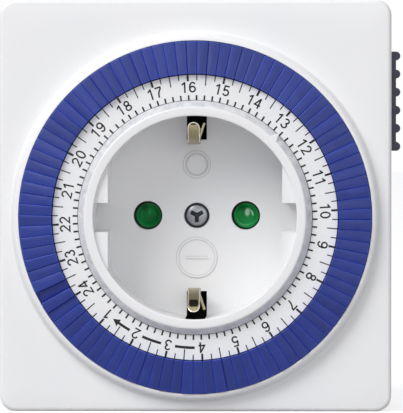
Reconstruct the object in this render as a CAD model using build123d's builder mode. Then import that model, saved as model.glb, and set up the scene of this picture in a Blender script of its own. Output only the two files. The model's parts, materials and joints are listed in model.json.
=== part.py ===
"""A plug-in mechanical timer switch: a 24 hour dial and 96 quarter-hour segments round an earthed socket.

Every piece is drawn in one frame, in millimetres. +Z is up, the front faces -Y and the pins point along +Y.
The origin lies on the plug's pin face, midway between its pins, and the Y axis is the dial's axis.
Levels count forward from the pin face, so a point at level h has y = -h.
"""
import os
from math import acos, asin, atan2, ceil, cos, degrees, hypot, pi, radians, sin, sqrt, tan

from build123d import *

os.makedirs("parts", exist_ok=True)

# Fits and clearances
bearing_gap = 0.3  # radial gap of the dial's hub round the socket's column
turning_gap = 0.1  # radial gap of a small wheel or lever on its axle
sliding_gap = 0.25  # gap each side of a piece that slides in a slot
seat_gap = 0.1  # gap between pieces that are seated but not fused
running_gap = 0.3  # gap between moving pieces that pass each other
push_gap = 0.05  # radial gap of a pin or screw that is pushed or driven home
overshoot = 1.0  # how far a cut runs past what it cuts

# Plug
pin_pitch = 19.0
pin_radius = 2.4
pin_length = 19.0
pin_neck_radius = 2.0
pin_flange_radius = 3.2
pin_flange_thickness = 1.2
plug_radius = 18.5
plug_depth = 18.0
plug_wall = 1.5
plug_face_thickness = 3.0
plug_flat_half_width = 16.4
plug_rib_width = 5.2
plug_rib_inset = 0.4  # how far a rib ends inside the plug's radius
plug_edge_radius = 1.2

# Earth bracket
earth_thickness = 0.6
earth_width = 2.4
earth_level_start = 2.0
earth_leg_inside = 16.0  # from the axis to the inner face of a leg
earth_clip_bow = 1.7  # how far a front clip bows towards the axis
earth_clip_length = 13.5  # how far a front clip reaches past the well's floor
earth_clip_start = 0.5  # how far a front clip leans in where it leaves the floor
earth_clip_peak = 8.1  # height above the floor where a front clip bows in most
earth_clip_flare = 2.0  # how far a clip's tip leans back past the leg
earth_clip_side = 0.35  # how far the front clips stand left of the middle
earth_wing_thickness = 0.35
earth_wing_reach = 3.4  # how far a clip's side wing leans back from its bow
earth_wing_side = 1.1  # how far a side wing spreads to the right of its clip
earth_wing_depth = 4.0
earth_hub_radius = 5.5
earth_bridge_width = 5.0
earth_bridge_drop = 2.9  # from the shutter down to the bridge's back

# Socket well
well_radius = 19.5
well_wall = 1.5
well_depth = 17.5
well_floor_thickness = 3.0
pin_hole_radius = 2.8
key_block_inset = 2.8  # how far the four key blocks stand in from the well's wall
key_block_low = 2.8
key_block_high = 10.3
key_block_below_rim = 0.9
earth_slot_width = 3.9
earth_slot_inside = 14.7
collar_width = 2.85
collar_height = 1.6
collar_rim_radius = 0.7
collar_rim_drop = 0.3
collar_edge = 0.15
groove_wall = 0.6
pointer_length = 0.9
pointer_width = 1.0
pointer_height = 0.8
pointer_angle = 45.0
relief_height = 0.25
relief_width = 0.35
upper_ring_radius = 2.6
upper_ring_height = 9.9
lower_ring_radius = 3.9
lower_ring_height = 8.2
lower_bar_length = 4.4

# Fastenings
pillar_radius = 3.0
centre_screw_radius = 1.1
centre_screw_head_radius = 2.4
centre_screw_head_height = 1.3
centre_screw_length = 12.0
drive_slot_depth = 0.7
drive_slot_width = 0.55
drive_wing_length = 1.5
drive_wing_angles = (30, 150, 270)
housing_screw_radius = 1.1
housing_screw_head_radius = 2.1
housing_screw_head_height = 1.6
housing_screw_length = 18.0
housing_screw_sink = 2.4
housing_screw_cross = 2.6
post_radius = 2.6
boss_radius = 3.2
post_inset = 2.4  # from a side wall's inner face to the screw's axis

# Shutter
shutter_thickness = 1.4
shutter_hub_radius = 5.4
shutter_radius = 13.2
shutter_overlap = 0.5  # how far a lobe covers past the pin hole's edge
spring_strip = 0.3  # thickness of the leaf springs
ramp_half_width = 2.2
lug_radius = 0.7
lug_reach = 8.0  # from the shutter's axis to its lug
lug_angle = 14.0
spring_post_radius = 1.0
spring_post_side = 7.6
spring_post_height = 10.2

# Contacts inside the plug
sleeve_bore = 2.5
sleeve_wall = 0.6
sleeve_slit = 0.8
sleeve_lift = 2.6  # how far the load sleeve's base stands above the line strip
strip_thickness = 0.6
strip_width = 3.0
strip_offset = 2.5  # from the pins' plane to the middle of a strip
strip_lift = 1.6  # of the strips' run above the inside of the back
strip_foot_inset = 1.0  # how far the line strip's foot reaches past its pin's axis
contact_below_nose = 2.5  # from the lever's nose down to the contacts
arm_gap = 0.4  # between the lever and a strip's arm
carrier_gap = 0.3

# Segments and dial
segments_per_hour = 4
hours = 24
dial_band = 5.2
segment_length = 6.15
segment_height = 2.8
segment_gap = 0.14
segment_above_dial = 1.4
segment_fall = 1.1  # how far a segment's outer end lies under its inner end
segment_travel = 2.5
segment_leg_offset = 2.2  # from a segment's inner end to its leg
segment_leg_depth = 1.4
segment_leg_width = 1.0
segment_foot_lip = 0.4
segment_foot_thickness = 1.5
dial_plate_thickness = 1.6
hub_wall = 1.7
web_thickness = 1.5
slot_gap = 0.12
carrier_rim_inside = 1.0
carrier_rim_outside = 0.8
carrier_thickness = 3.5
zero_hour_angle = -147.0  # of the 24 hour mark, anticlockwise from +X as seen from the front

# Case
case_wall = 2.0
rear_shell_depth = 8.0
ring_above_case = 4.4
plinth_height = 2.5
plinth_shoulder = 2.25  # how far out the plinth's rounded shoulder reaches
plinth_skirt = 3.9  # how far out its hollow skirt reaches past the shoulder
plinth_land = 0.3  # flat between the plinth's flank and the ring's opening
margin_side = 3.93
margin_top = 8.03
margin_bottom = 3.65
corner_radius = 3.0
smallest_corner = 0.6
edge_radius = 0.8
ring_clearance = 0.2
lip_height = 1.4
lip_thickness = 0.8

# Motor and gear train
motor_radius = 11.0
motor_depth = 9.5
motor_wall = 0.6
coil_radius = 9.6
coil_bore = 5.8
rotor_radius = 5.0
rotor_length = 5.2
shaft_radius = 0.8
plate_thickness = 0.8
gear_width = 1.3
fine_module = 0.5
coarse_module = 0.6
pinion_teeth = 12
intermediate_teeth = 24
clutch_teeth = 22
dial_gear_width = 2.4
gear_rim = 0.5
train_bend = 0.96  # span of the train from drive pinion to rotor, as a share of its straight length
backlash = 0.15
flank_angle = 20.0
addendum_share = 0.7
dedendum_share = 0.95
hub_radius = 1.9
washer_radius = 4.2
axle_radius = 0.7
axle_post_radius = 2.2
rib_angles = (48, 180, 300)
rib_width = 2.0

# Switch lever and override slider
lever_width = 2.4
lever_nose_height = 8.0  # of the nose above the dial's axis
lever_arm = 14.5  # from the pivot up to the nose
lever_pivot_lift = 8.0  # of the pivot in front of the case's back
lever_hub_radius = 1.8
lever_axle_radius = 0.75
lever_turn = 6.5
cheek_thickness = 1.2
cheek_wall = 1.3  # round the lever's axle
lever_nose_half = 1.0
lever_spring_reach = 7.2  # from the pivot up to where the leaf presses
bridge_thickness = 0.6
rivet_radius = 0.8
rivet_height = 0.5
contact_arm_width = 2.0
slider_length = 19.2
slider_below_top = 9.93  # from the case's top down to the slider's
slider_base = 0.9
slider_ridge_height = 0.83
slider_ridge_width = 1.7
slider_ridges = 6
slider_width = 7.0
slider_level = 14.5  # of the slider's middle in front of the case's back
slider_travel = 4.0
neck_length = 6.0
neck_width = 3.0
flange_thickness = 1.0
flange_length = 10.0
flange_width = 5.2
finger_inset = 1.0
finger_rest_gap = 1.4  # from the lever's tab up to the resting finger
detent_foot = 3.0
lever_depth = 2.4
tab_rise = 1.0
tab_thickness = 1.4
leaf_width = 1.6

# Levels worked out from the back forwards
case_back = plug_depth
inner_back = case_back + case_wall
screw_end = case_back + housing_screw_sink + housing_screw_length
parting = case_back + rear_shell_depth
motor_low = inner_back + seat_gap
motor_high = motor_low + motor_depth
plate_low = motor_high + seat_gap
first_gear = plate_low + plate_thickness + running_gap
second_gear = first_gear + gear_width + running_gap
washer_low = second_gear + gear_width + seat_gap
dial_gear = washer_low + spring_strip + seat_gap
dial_gear_high = dial_gear + dial_gear_width
foot_low = dial_gear_high + 2 * running_gap
carrier_low = foot_low + segment_travel + segment_foot_thickness + seat_gap
carrier_high = carrier_low + carrier_thickness
segment_low = carrier_high + segment_travel + seat_gap
segment_high = segment_low + segment_height
dial_face = segment_high - segment_above_dial
dial_plate_low = dial_face - dial_plate_thickness
case_front = segment_high - ring_above_case
rim_level = dial_face + collar_height
floor_level = rim_level - well_depth
floor_under = floor_level - well_floor_thickness
shutter_low = floor_under - running_gap - shutter_thickness

# Radii worked out from the well outwards
column_radius = well_radius + well_wall
hub_bore = column_radius + bearing_gap
hub_outside = hub_bore + hub_wall
collar_radius = well_radius + collar_width
segment_inside = collar_radius + dial_band
segment_outside = segment_inside + segment_length
dial_plate_radius = segment_inside - sliding_gap
leg_inside = segment_inside + segment_leg_offset
leg_outside = leg_inside + segment_leg_depth
foot_middle = (leg_inside + leg_outside) / 2
carrier_inside = leg_inside - carrier_rim_inside
carrier_outside = leg_outside + carrier_rim_outside
ring_opening = segment_outside + ring_clearance
plinth_top_radius = ring_opening + plinth_land
plinth_middle_radius = plinth_top_radius + plinth_shoulder
plinth_base_radius = plinth_middle_radius + plinth_skirt
plinth_slope = 2 * atan2(plinth_height, plinth_shoulder + plinth_skirt)
plinth_shoulder_radius = plinth_shoulder / sin(plinth_slope)
plinth_skirt_radius = plinth_skirt / sin(plinth_slope)
plinth_middle_drop = plinth_shoulder_radius * (1 - cos(plinth_slope))
segment_count = hours * segments_per_hour
segment_pitch = 360 / segment_count
hour_pitch = 360 / hours

# Case outline
case_left = -(segment_outside + margin_side)
case_right = -case_left
case_top = segment_outside + margin_top
case_bottom = -(segment_outside + margin_bottom)
case_middle = (case_top + case_bottom) / 2
inner_right = case_right - case_wall
inner_top = case_top - case_wall
inner_bottom = case_bottom + case_wall
case_corner_reach = hypot(case_right, case_top) + overshoot
post_places = [
    (x * (inner_right - post_inset), z)
    for x in (-1, 1)
    for z in (inner_bottom + post_inset, inner_top - post_inset)
]

# Gear train: the dial's gear, the drive pinion, the intermediate wheel and the rotor's pinion. The motor
# stands midway between the well's column and the boss in the upper left corner.
dial_teeth = ceil(2 * (hub_outside + gear_rim + dedendum_share * coarse_module) / coarse_module)
dial_pitch_radius = dial_teeth * coarse_module / 2
drive_pitch_radius = pinion_teeth * coarse_module / 2
clutch_pitch_radius = clutch_teeth * fine_module / 2
intermediate_pitch_radius = intermediate_teeth * fine_module / 2
small_pitch_radius = pinion_teeth * fine_module / 2
corner_distance = hypot(*post_places[1])
motor_distance = (column_radius + corner_distance - boss_radius) / 2
motor_x = post_places[1][0] * motor_distance / corner_distance
motor_z = post_places[1][1] * motor_distance / corner_distance
drive_distance = dial_pitch_radius + drive_pitch_radius
clutch_reach = clutch_pitch_radius + small_pitch_radius
rotor_reach = intermediate_pitch_radius + small_pitch_radius
train_span = train_bend * (clutch_reach + rotor_reach)
drive_angle = degrees(
    atan2(motor_z, motor_x)
    - acos((motor_distance**2 + drive_distance**2 - train_span**2) / (2 * motor_distance * drive_distance))
)
drive_x = drive_distance * cos(radians(drive_angle))
drive_z = drive_distance * sin(radians(drive_angle))
rotor_direction = degrees(atan2(motor_z - drive_z, motor_x - drive_x))
bend = degrees(acos((clutch_reach**2 + train_span**2 - rotor_reach**2) / (2 * clutch_reach * train_span)))
wheel_direction = rotor_direction - bend
wheel_x = drive_x + clutch_reach * cos(radians(wheel_direction))
wheel_z = drive_z + clutch_reach * sin(radians(wheel_direction))


def level(h):
    """The plane at level h, seen from the front: local x is +X and local y is +Z."""
    return Plane.XZ.offset(h)


def beside(x):
    """The plane across the part at this x: its local x is the level and its local y is +Z."""
    return Plane(origin=(x, 0, 0), x_dir=(0, -1, 0), z_dir=(-1, 0, 0))


# A half plane through the dial's axis: its local x is the radius and its local y is the level.
radial = Plane(origin=(0, 0, 0), x_dir=(1, 0, 0), z_dir=(0, 0, -1))


def radial_at(x, z):
    """The radial plane of a turned piece whose axis stands at x, z."""
    return Plane(origin=(x, 0, z), x_dir=(1, 0, 0), z_dir=(0, 0, -1))


def axis_at(x, z):
    """The axis along +Y that stands at x, z."""
    return Axis((x, 0, z), (0, 1, 0))


def span(low, high):
    """The middle and the length of a stretch from low to high."""
    return (low + high) / 2, high - low


def window(x_low, x_high, y_low, y_high, mode=Mode.ADD):
    """A rectangle in the current sketch from its edges."""
    x_middle, x_length = span(x_low, x_high)
    y_middle, y_length = span(y_low, y_high)
    with Locations((x_middle, y_middle)):
        Rectangle(x_length, y_length, mode=mode)


def case_outline(inset, mode=Mode.ADD):
    """The case's rounded outline, set in by this much, in the current sketch."""
    with Locations((0, case_middle)):
        RectangleRounded(
            case_right - case_left - 2 * inset,
            case_top - case_bottom - 2 * inset,
            max(corner_radius - inset, smallest_corner),
            mode=mode,
        )


def gear_points(teeth, module, phase):
    """A gear's outline, with straight flanks and its first tooth at the angle given by phase."""
    pitch_radius = teeth * module / 2
    tip_radius = pitch_radius + addendum_share * module
    root_radius = pitch_radius - dedendum_share * module
    half_tooth = (pi * module / 2 - backlash) / 2
    half_tip = half_tooth - addendum_share * module * tan(radians(flank_angle))
    half_root = half_tooth + dedendum_share * module * tan(radians(flank_angle)) / 2
    corners = (
        (root_radius, -half_root),
        (tip_radius, -half_tip),
        (tip_radius, half_tip),
        (root_radius, half_root),
    )
    points = []
    for tooth in range(teeth):
        for radius, half_width in corners:
            angle = radians(phase + 360 * tooth / teeth) + half_width / radius
            points.append((radius * cos(angle), radius * sin(angle)))
    return points


def meshed_phase(direction, phase, teeth, other_teeth):
    """The phase of a gear of other_teeth that meshes, along this direction, with a gear of this phase."""
    share = ((direction - phase) / (360 / teeth)) % 1
    return direction + 180 + (share + 0.5) * 360 / other_teeth


def gear_face(x, z, teeth, module, phase):
    """A gear's face about x, z in the current sketch."""
    with Locations((x, z)):
        Polygon(gear_points(teeth, module, phase), align=None)


dial_phase = 0.0
drive_phase = meshed_phase(drive_angle, dial_phase, dial_teeth, pinion_teeth)
clutch_phase = 0.0
small_phase = meshed_phase(wheel_direction, clutch_phase, clutch_teeth, pinion_teeth)
intermediate_phase = 0.0
rotor_from_wheel = degrees(atan2(motor_z - wheel_z, motor_x - wheel_x))
rotor_phase = meshed_phase(rotor_from_wheel, intermediate_phase, intermediate_teeth, pinion_teeth)


def finish(piece, name):
    """Labels a finished piece and writes it."""
    piece.part.label = name
    export_step(piece.part, f"parts/{name}.step")


# Lever, contacts and slider, placed by the feet that pass over the nose
lever_x = sqrt(foot_middle**2 - lever_nose_height**2)
lever_left = lever_x - lever_width / 2
lever_right = lever_x + lever_width / 2
pivot_level = inner_back + lever_pivot_lift
pivot_z = lever_nose_height - lever_arm
nose_level = foot_low - running_gap
strip_level = inner_back + strip_lift
strip_top = strip_level + strip_thickness
contact_z = lever_nose_height - contact_below_nose
contact_drop = (contact_z - pivot_z) * sin(radians(lever_turn)) + running_gap
bridge_low = strip_top + 2 * rivet_height + contact_drop
load_arm_right = lever_left - arm_gap
line_arm_left = lever_right + arm_gap
slider_middle = case_back + slider_level
slider_top = case_top - slider_below_top
slider_bottom = slider_top - slider_length
neck_z = slider_top - slider_length / 2
pin_x = pin_pitch / 2
sleeve_radius = sleeve_bore + sleeve_wall
flange_top = plug_face_thickness + pin_flange_thickness
line_foot_top = flange_top + strip_thickness
load_base = line_foot_top + sleeve_lift
bridge_plate_low = shutter_low - earth_bridge_drop
carrier_block_top = bridge_plate_low + earth_thickness
riser_left = pin_x + sleeve_radius + running_gap
riser_right = riser_left + strip_thickness
strip_low = strip_offset - strip_width / 2
strip_high = strip_offset + strip_width / 2
bridge_top = bridge_low + bridge_thickness
plug_rib_reach = plug_radius - plug_rib_inset
plug_cavity_radius = plug_radius - plug_wall
cavity_half_width = plug_flat_half_width - plug_wall
cheek_radius = lever_axle_radius + cheek_wall
load_cheek_left = lever_left - running_gap - cheek_thickness
line_cheek_left = lever_right + running_gap
nose_low = lever_nose_height - lever_nose_half
nose_high = lever_nose_height + lever_nose_half
tab_low = bridge_top + tab_rise
tab_top = tab_low + tab_thickness
finger_level = tab_top + 2 * running_gap
finger_low = nose_high + finger_rest_gap
collar_under = dial_face + sliding_gap
tab_right = inner_right - sliding_gap - flange_thickness
detent_x = inner_right - sliding_gap - flange_thickness - running_gap - spring_strip / 2
lug_x = lug_reach * cos(radians(lug_angle))
lug_z = lug_reach * sin(radians(lug_angle))
spring_width = shutter_low - carrier_block_top - 2 * seat_gap
channel_bottom = earth_leg_inside - seat_gap
cavity_step = channel_bottom - plug_wall
channel_half_width = earth_width / 2 + sliding_gap


# Front cover: the white front shell with the round plinth that the dial's ring stands in
with BuildPart() as front_cover:
    with BuildSketch(radial):
        with BuildLine():
            Polyline(
                (plinth_base_radius, case_front),
                (case_corner_reach, case_front),
                (case_corner_reach, parting),
                (0, parting),
                (0, case_front + plinth_height),
                (plinth_top_radius, case_front + plinth_height),
            )
            ThreePointArc(
                (plinth_top_radius, case_front + plinth_height),
                (
                    plinth_top_radius + plinth_shoulder_radius * sin(plinth_slope / 2),
                    case_front + plinth_height - plinth_shoulder_radius * (1 - cos(plinth_slope / 2)),
                ),
                (plinth_middle_radius, case_front + plinth_height - plinth_middle_drop),
            )
            ThreePointArc(
                (plinth_middle_radius, case_front + plinth_height - plinth_middle_drop),
                (
                    plinth_base_radius - plinth_skirt_radius * sin(plinth_slope / 2),
                    case_front + plinth_skirt_radius * (1 - cos(plinth_slope / 2)),
                ),
                (plinth_base_radius, case_front),
            )
        make_face()
    revolve(axis=Axis.Y)
    with BuildSketch(level(parting)):
        case_outline(0)
    extrude(amount=case_front + plinth_height - parting, mode=Mode.INTERSECT)
    sides = front_cover.faces().filter_by(lambda face: abs(face.normal_at().Y) < 1e-6)
    fillet(sides.edges().filter_by(lambda edge: edge.center().Y < 1e-3 - case_front), edge_radius)
    with BuildSketch(level(parting)):
        case_outline(case_wall)
    extrude(amount=case_front - case_wall - parting, mode=Mode.SUBTRACT)
    with BuildSketch(level(parting)):
        case_outline(case_wall - lip_thickness - seat_gap)
    extrude(amount=lip_height + seat_gap, mode=Mode.SUBTRACT)
    with BuildSketch(level(case_front - case_wall)):
        Circle(ring_opening)
    extrude(amount=case_wall + plinth_height, mode=Mode.SUBTRACT)
    with BuildSketch(level(parting)):
        with Locations(*post_places):
            Circle(post_radius)
    extrude(amount=case_front - case_wall - parting)
    with BuildSketch(level(parting)):
        with Locations(*post_places):
            Circle(housing_screw_radius + push_gap)
    extrude(amount=screw_end + running_gap - parting, mode=Mode.SUBTRACT)
    with BuildSketch(beside(case_right + overshoot)):
        window(
            slider_middle - neck_width / 2 - sliding_gap,
            slider_middle + neck_width / 2 + sliding_gap,
            neck_z - neck_length / 2 - slider_travel - sliding_gap,
            neck_z + neck_length / 2 + sliding_gap,
        )
    extrude(amount=case_wall + 2 * overshoot, mode=Mode.SUBTRACT)
finish(front_cover, "front_cover")


# Rear housing: the back shell, the plug's body and the pillar, bosses and ribs that carry the insides
with BuildPart() as rear_housing:
    with BuildSketch(level(case_back)):
        case_outline(0)
    extrude(amount=parting - case_back)
    fillet(rear_housing.faces().sort_by(Axis.Y)[-1].edges(), edge_radius)
    with BuildSketch(level(inner_back)):
        case_outline(case_wall)
    extrude(amount=parting - inner_back, mode=Mode.SUBTRACT)
    with BuildSketch(level(parting)):
        case_outline(case_wall - lip_thickness)
        case_outline(case_wall, mode=Mode.SUBTRACT)
        with Locations(*post_places):
            Circle(post_radius + seat_gap, mode=Mode.SUBTRACT)
    extrude(amount=lip_height)
    # The plug's body: round, with a flat and a rib on each side and a channel for each earth leg
    with BuildSketch(level(0)) as plug_outline:
        Circle(plug_radius)
        window(-plug_flat_half_width, plug_flat_half_width, -plug_radius, plug_radius, mode=Mode.INTERSECT)
        window(-plug_rib_reach, plug_rib_reach, -plug_rib_width / 2, plug_rib_width / 2)
    extrude(amount=case_back)
    fillet(rear_housing.faces().sort_by(Axis.Y)[-1].edges(), plug_edge_radius)
    with BuildSketch(level(0)):
        for side in (-1, 1):
            window(
                -channel_half_width,
                channel_half_width,
                *sorted((side * channel_bottom, side * (plug_radius + overshoot))),
            )
    extrude(amount=case_back, mode=Mode.SUBTRACT)
    with BuildSketch(level(plug_face_thickness)):
        Circle(plug_cavity_radius)
        window(-cavity_half_width, cavity_half_width, -plug_radius, plug_radius, mode=Mode.INTERSECT)
        for side in (-1, 1):
            window(
                -channel_half_width - plug_wall,
                channel_half_width + plug_wall,
                *sorted((side * cavity_step, side * plug_radius)),
                mode=Mode.SUBTRACT,
            )
    extrude(amount=inner_back - plug_face_thickness, mode=Mode.SUBTRACT)
    # Holes: the legs of the earth bracket through the back, the pins' necks through the plug's face
    with BuildSketch(level(case_back)):
        for side in (-1, 1):
            window(
                -channel_half_width,
                channel_half_width,
                *sorted((side * channel_bottom, side * (earth_leg_inside + earth_thickness + sliding_gap))),
            )
    extrude(amount=case_wall, mode=Mode.SUBTRACT)
    with BuildSketch(level(0)):
        with Locations((-pin_x, 0), (pin_x, 0)):
            Circle(pin_neck_radius)
    extrude(amount=plug_face_thickness, mode=Mode.SUBTRACT)
    # The pillar that carries the socket well and takes the centre screw
    with BuildSketch(level(plug_face_thickness)):
        Circle(pillar_radius)
    extrude(amount=floor_under - plug_face_thickness)
    with BuildSketch(level(floor_level - centre_screw_length)):
        Circle(centre_screw_radius + push_gap)
    extrude(amount=centre_screw_length, mode=Mode.SUBTRACT)
    # Bosses for the housing screws, counterbored from the back
    with BuildSketch(level(inner_back)):
        with Locations(*post_places):
            Circle(boss_radius)
    extrude(amount=parting - inner_back)
    with BuildSketch(level(case_back)):
        with Locations(*post_places):
            Circle(housing_screw_radius + turning_gap)
    extrude(amount=parting - case_back, mode=Mode.SUBTRACT)
    with BuildSketch(level(case_back)):
        with Locations(*post_places):
            Circle(housing_screw_head_radius + seat_gap)
    extrude(amount=housing_screw_sink, mode=Mode.SUBTRACT)
    # Ribs that the dial's hub turns on
    with BuildSketch(level(inner_back)):
        for angle in rib_angles:
            with Locations(Rotation(0, 0, angle)):
                window(column_radius + sliding_gap, hub_outside, -rib_width / 2, rib_width / 2)
    extrude(amount=dial_gear - seat_gap - inner_back)
    # Cheeks that hold the lever's axle
    for cheek_left in (load_cheek_left, line_cheek_left):
        with BuildSketch(beside(cheek_left + cheek_thickness)):
            window(inner_back, pivot_level, pivot_z - cheek_radius, pivot_z + cheek_radius)
            with Locations((pivot_level, pivot_z)):
                Circle(cheek_radius)
                Circle(lever_axle_radius + push_gap, mode=Mode.SUBTRACT)
        extrude(amount=cheek_thickness)
    # Post that holds the drive pinion's axle and the gear plate's end
    with BuildSketch(level(inner_back)):
        with Locations((drive_x, drive_z)):
            Circle(axle_post_radius)
    extrude(amount=plate_low - inner_back)
    with BuildSketch(level(inner_back + case_wall)):
        with Locations((drive_x, drive_z)):
            Circle(axle_radius + push_gap)
    extrude(amount=plate_low - inner_back - case_wall, mode=Mode.SUBTRACT)
finish(rear_housing, "rear_housing")


# Housing screws: four pan head screws driven from the back
with BuildPart() as housing_screws:
    with BuildSketch(level(case_back + housing_screw_sink - housing_screw_head_height)):
        with Locations(*post_places):
            Circle(housing_screw_head_radius)
    extrude(amount=housing_screw_head_height)
    with BuildSketch(level(case_back + housing_screw_sink)):
        with Locations(*post_places):
            Circle(housing_screw_radius)
    extrude(amount=housing_screw_length)
    with BuildSketch(level(case_back + housing_screw_sink - housing_screw_head_height)):
        with Locations(*post_places):
            Rectangle(housing_screw_cross, drive_slot_width)
            Rectangle(drive_slot_width, housing_screw_cross)
    extrude(amount=drive_slot_depth, mode=Mode.SUBTRACT)
finish(housing_screws, "housing_screws")


# Socket well: the fixed recess with its collar, on the column that the dial turns round
with BuildPart() as socket_well:
    with BuildSketch(radial):
        with BuildLine():
            Polyline(
                (well_radius, rim_level - collar_rim_radius),
                (well_radius, inner_back),
                (column_radius, inner_back),
                (column_radius, collar_under),
                (collar_radius, collar_under),
                (collar_radius, collar_under + collar_edge),
                (column_radius, rim_level - collar_rim_drop),
            )
            ThreePointArc(
                (column_radius, rim_level - collar_rim_drop),
                ((well_radius + column_radius) / 2 + collar_edge, rim_level),
                (well_radius, rim_level - collar_rim_radius),
            )
        make_face()
    revolve(axis=Axis.Y)
    with BuildSketch(level(floor_under)):
        Circle(column_radius)
    extrude(amount=well_floor_thickness)
    with BuildSketch(level(floor_level)):
        for x_side in (-1, 1):
            for z_side in (-1, 1):
                window(
                    *sorted((x_side * (well_radius - key_block_inset), x_side * column_radius)),
                    *sorted((z_side * key_block_low, z_side * key_block_high)),
                )
        Circle((well_radius + column_radius) / 2, mode=Mode.INTERSECT)
    extrude(amount=well_depth - key_block_below_rim)
    # Slots for the earth clips, through the floor and up the wall
    with BuildSketch(level(floor_under)):
        for side in (-1, 1):
            window(
                -earth_slot_width / 2,
                earth_slot_width / 2,
                *sorted((side * earth_slot_inside, side * well_radius)),
            )
    extrude(amount=well_floor_thickness, mode=Mode.SUBTRACT)
    with BuildSketch(level(floor_under)):
        for side in (-1, 1):
            window(
                -earth_slot_width / 2,
                earth_slot_width / 2,
                *sorted((side * (well_radius - overshoot), side * (column_radius - groove_wall))),
            )
    extrude(amount=collar_under - floor_under, mode=Mode.SUBTRACT)
    with BuildSketch(level(floor_under)):
        with Locations((-pin_x, 0), (pin_x, 0)):
            Circle(pin_hole_radius)
    extrude(amount=well_floor_thickness, mode=Mode.SUBTRACT)
    with BuildSketch(level(floor_under)):
        Circle(centre_screw_radius + turning_gap)
    extrude(amount=well_floor_thickness, mode=Mode.SUBTRACT)
    with BuildSketch(level(floor_level - centre_screw_head_height)):
        Circle(centre_screw_head_radius + turning_gap)
    extrude(amount=centre_screw_head_height, mode=Mode.SUBTRACT)
    # Raised rings on the floor, and the bar across the lower one
    with BuildSketch(level(floor_level)):
        with Locations((0, upper_ring_height)):
            Circle(upper_ring_radius)
            Circle(upper_ring_radius - relief_width, mode=Mode.SUBTRACT)
            Circle(upper_ring_radius - 2 * relief_width)
            Circle(upper_ring_radius - 3 * relief_width, mode=Mode.SUBTRACT)
        with Locations((0, -lower_ring_height)):
            Circle(lower_ring_radius)
            Circle(lower_ring_radius - relief_width, mode=Mode.SUBTRACT)
            Rectangle(lower_bar_length, relief_width)
    extrude(amount=relief_height)
    # Pointer on the collar, and the window through the column for the contact strips
    with BuildSketch(level(collar_under + collar_edge)):
        with Locations(Rotation(0, 0, pointer_angle)):
            Polygon(
                (column_radius, -pointer_width / 2),
                (column_radius + pointer_length, 0),
                (column_radius, pointer_width / 2),
                align=None,
            )
    extrude(amount=pointer_height)
    with BuildSketch(level(inner_back)):
        window(
            well_radius - overshoot,
            column_radius + overshoot,
            -strip_high - sliding_gap,
            strip_high + sliding_gap,
        )
    extrude(amount=strip_top + running_gap - inner_back, mode=Mode.SUBTRACT)
finish(socket_well, "socket_well")


# Centre screw: a flush head with a three-winged drive
with BuildPart() as centre_screw:
    with BuildSketch(level(floor_level - centre_screw_length)):
        Circle(centre_screw_radius)
    extrude(amount=centre_screw_length - centre_screw_head_height)
    with BuildSketch(level(floor_level - centre_screw_head_height)):
        Circle(centre_screw_head_radius)
    extrude(amount=centre_screw_head_height)
    with BuildSketch(level(floor_level - drive_slot_depth)):
        for angle in drive_wing_angles:
            with Locations(Rotation(0, 0, angle)):
                window(0, drive_wing_length, -drive_slot_width / 2, drive_slot_width / 2)
    extrude(amount=drive_slot_depth, mode=Mode.SUBTRACT)
finish(centre_screw, "centre_screw")


# Shutter: a two-lobed disc round the pillar that covers both pin holes, with a ramp on each lobe
lobe_angle = asin((pin_hole_radius + shutter_overlap) / pin_x)
lobe_reach = 2 * shutter_radius
lobe_half_width = lobe_reach * tan(lobe_angle)
with BuildPart() as shutter:
    with BuildSketch(level(shutter_low)):
        for side in (-1, 1):
            Polygon(
                (0, 0),
                (side * lobe_reach, -side * lobe_half_width),
                (side * lobe_reach, side * lobe_half_width),
                align=None,
            )
        Circle(shutter_radius, mode=Mode.INTERSECT)
        Circle(shutter_hub_radius)
        Circle(pillar_radius + turning_gap, mode=Mode.SUBTRACT)
    extrude(amount=shutter_thickness)
    for side in (-1, 1):
        with BuildSketch(beside(side * pin_x)):
            Polygon(
                (shutter_low + shutter_thickness, -side * pin_hole_radius),
                (shutter_low + shutter_thickness, side * pin_hole_radius),
                (shutter_low + spring_strip, side * pin_hole_radius),
                align=None,
            )
        extrude(amount=ramp_half_width, both=True, mode=Mode.SUBTRACT)
    with BuildSketch(level(shutter_low)):
        with Locations((lug_x, lug_z)):
            Circle(lug_radius)
    extrude(amount=-spring_width)
finish(shutter, "shutter")


# Shutter spring: a leaf from the contact carrier to the shutter's lug
with BuildPart() as shutter_spring:
    with BuildSketch(level(carrier_block_top + seat_gap)):
        with BuildLine():
            Polyline(
                (-pin_x, spring_post_height - spring_post_radius - spring_strip),
                (0, spring_post_height - spring_post_radius - spring_strip),
                (lug_x + lug_radius, lug_z + lug_radius + 2 * running_gap),
            )
        trace(line_width=spring_strip)
    extrude(amount=spring_width)
finish(shutter_spring, "shutter_spring")


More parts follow.
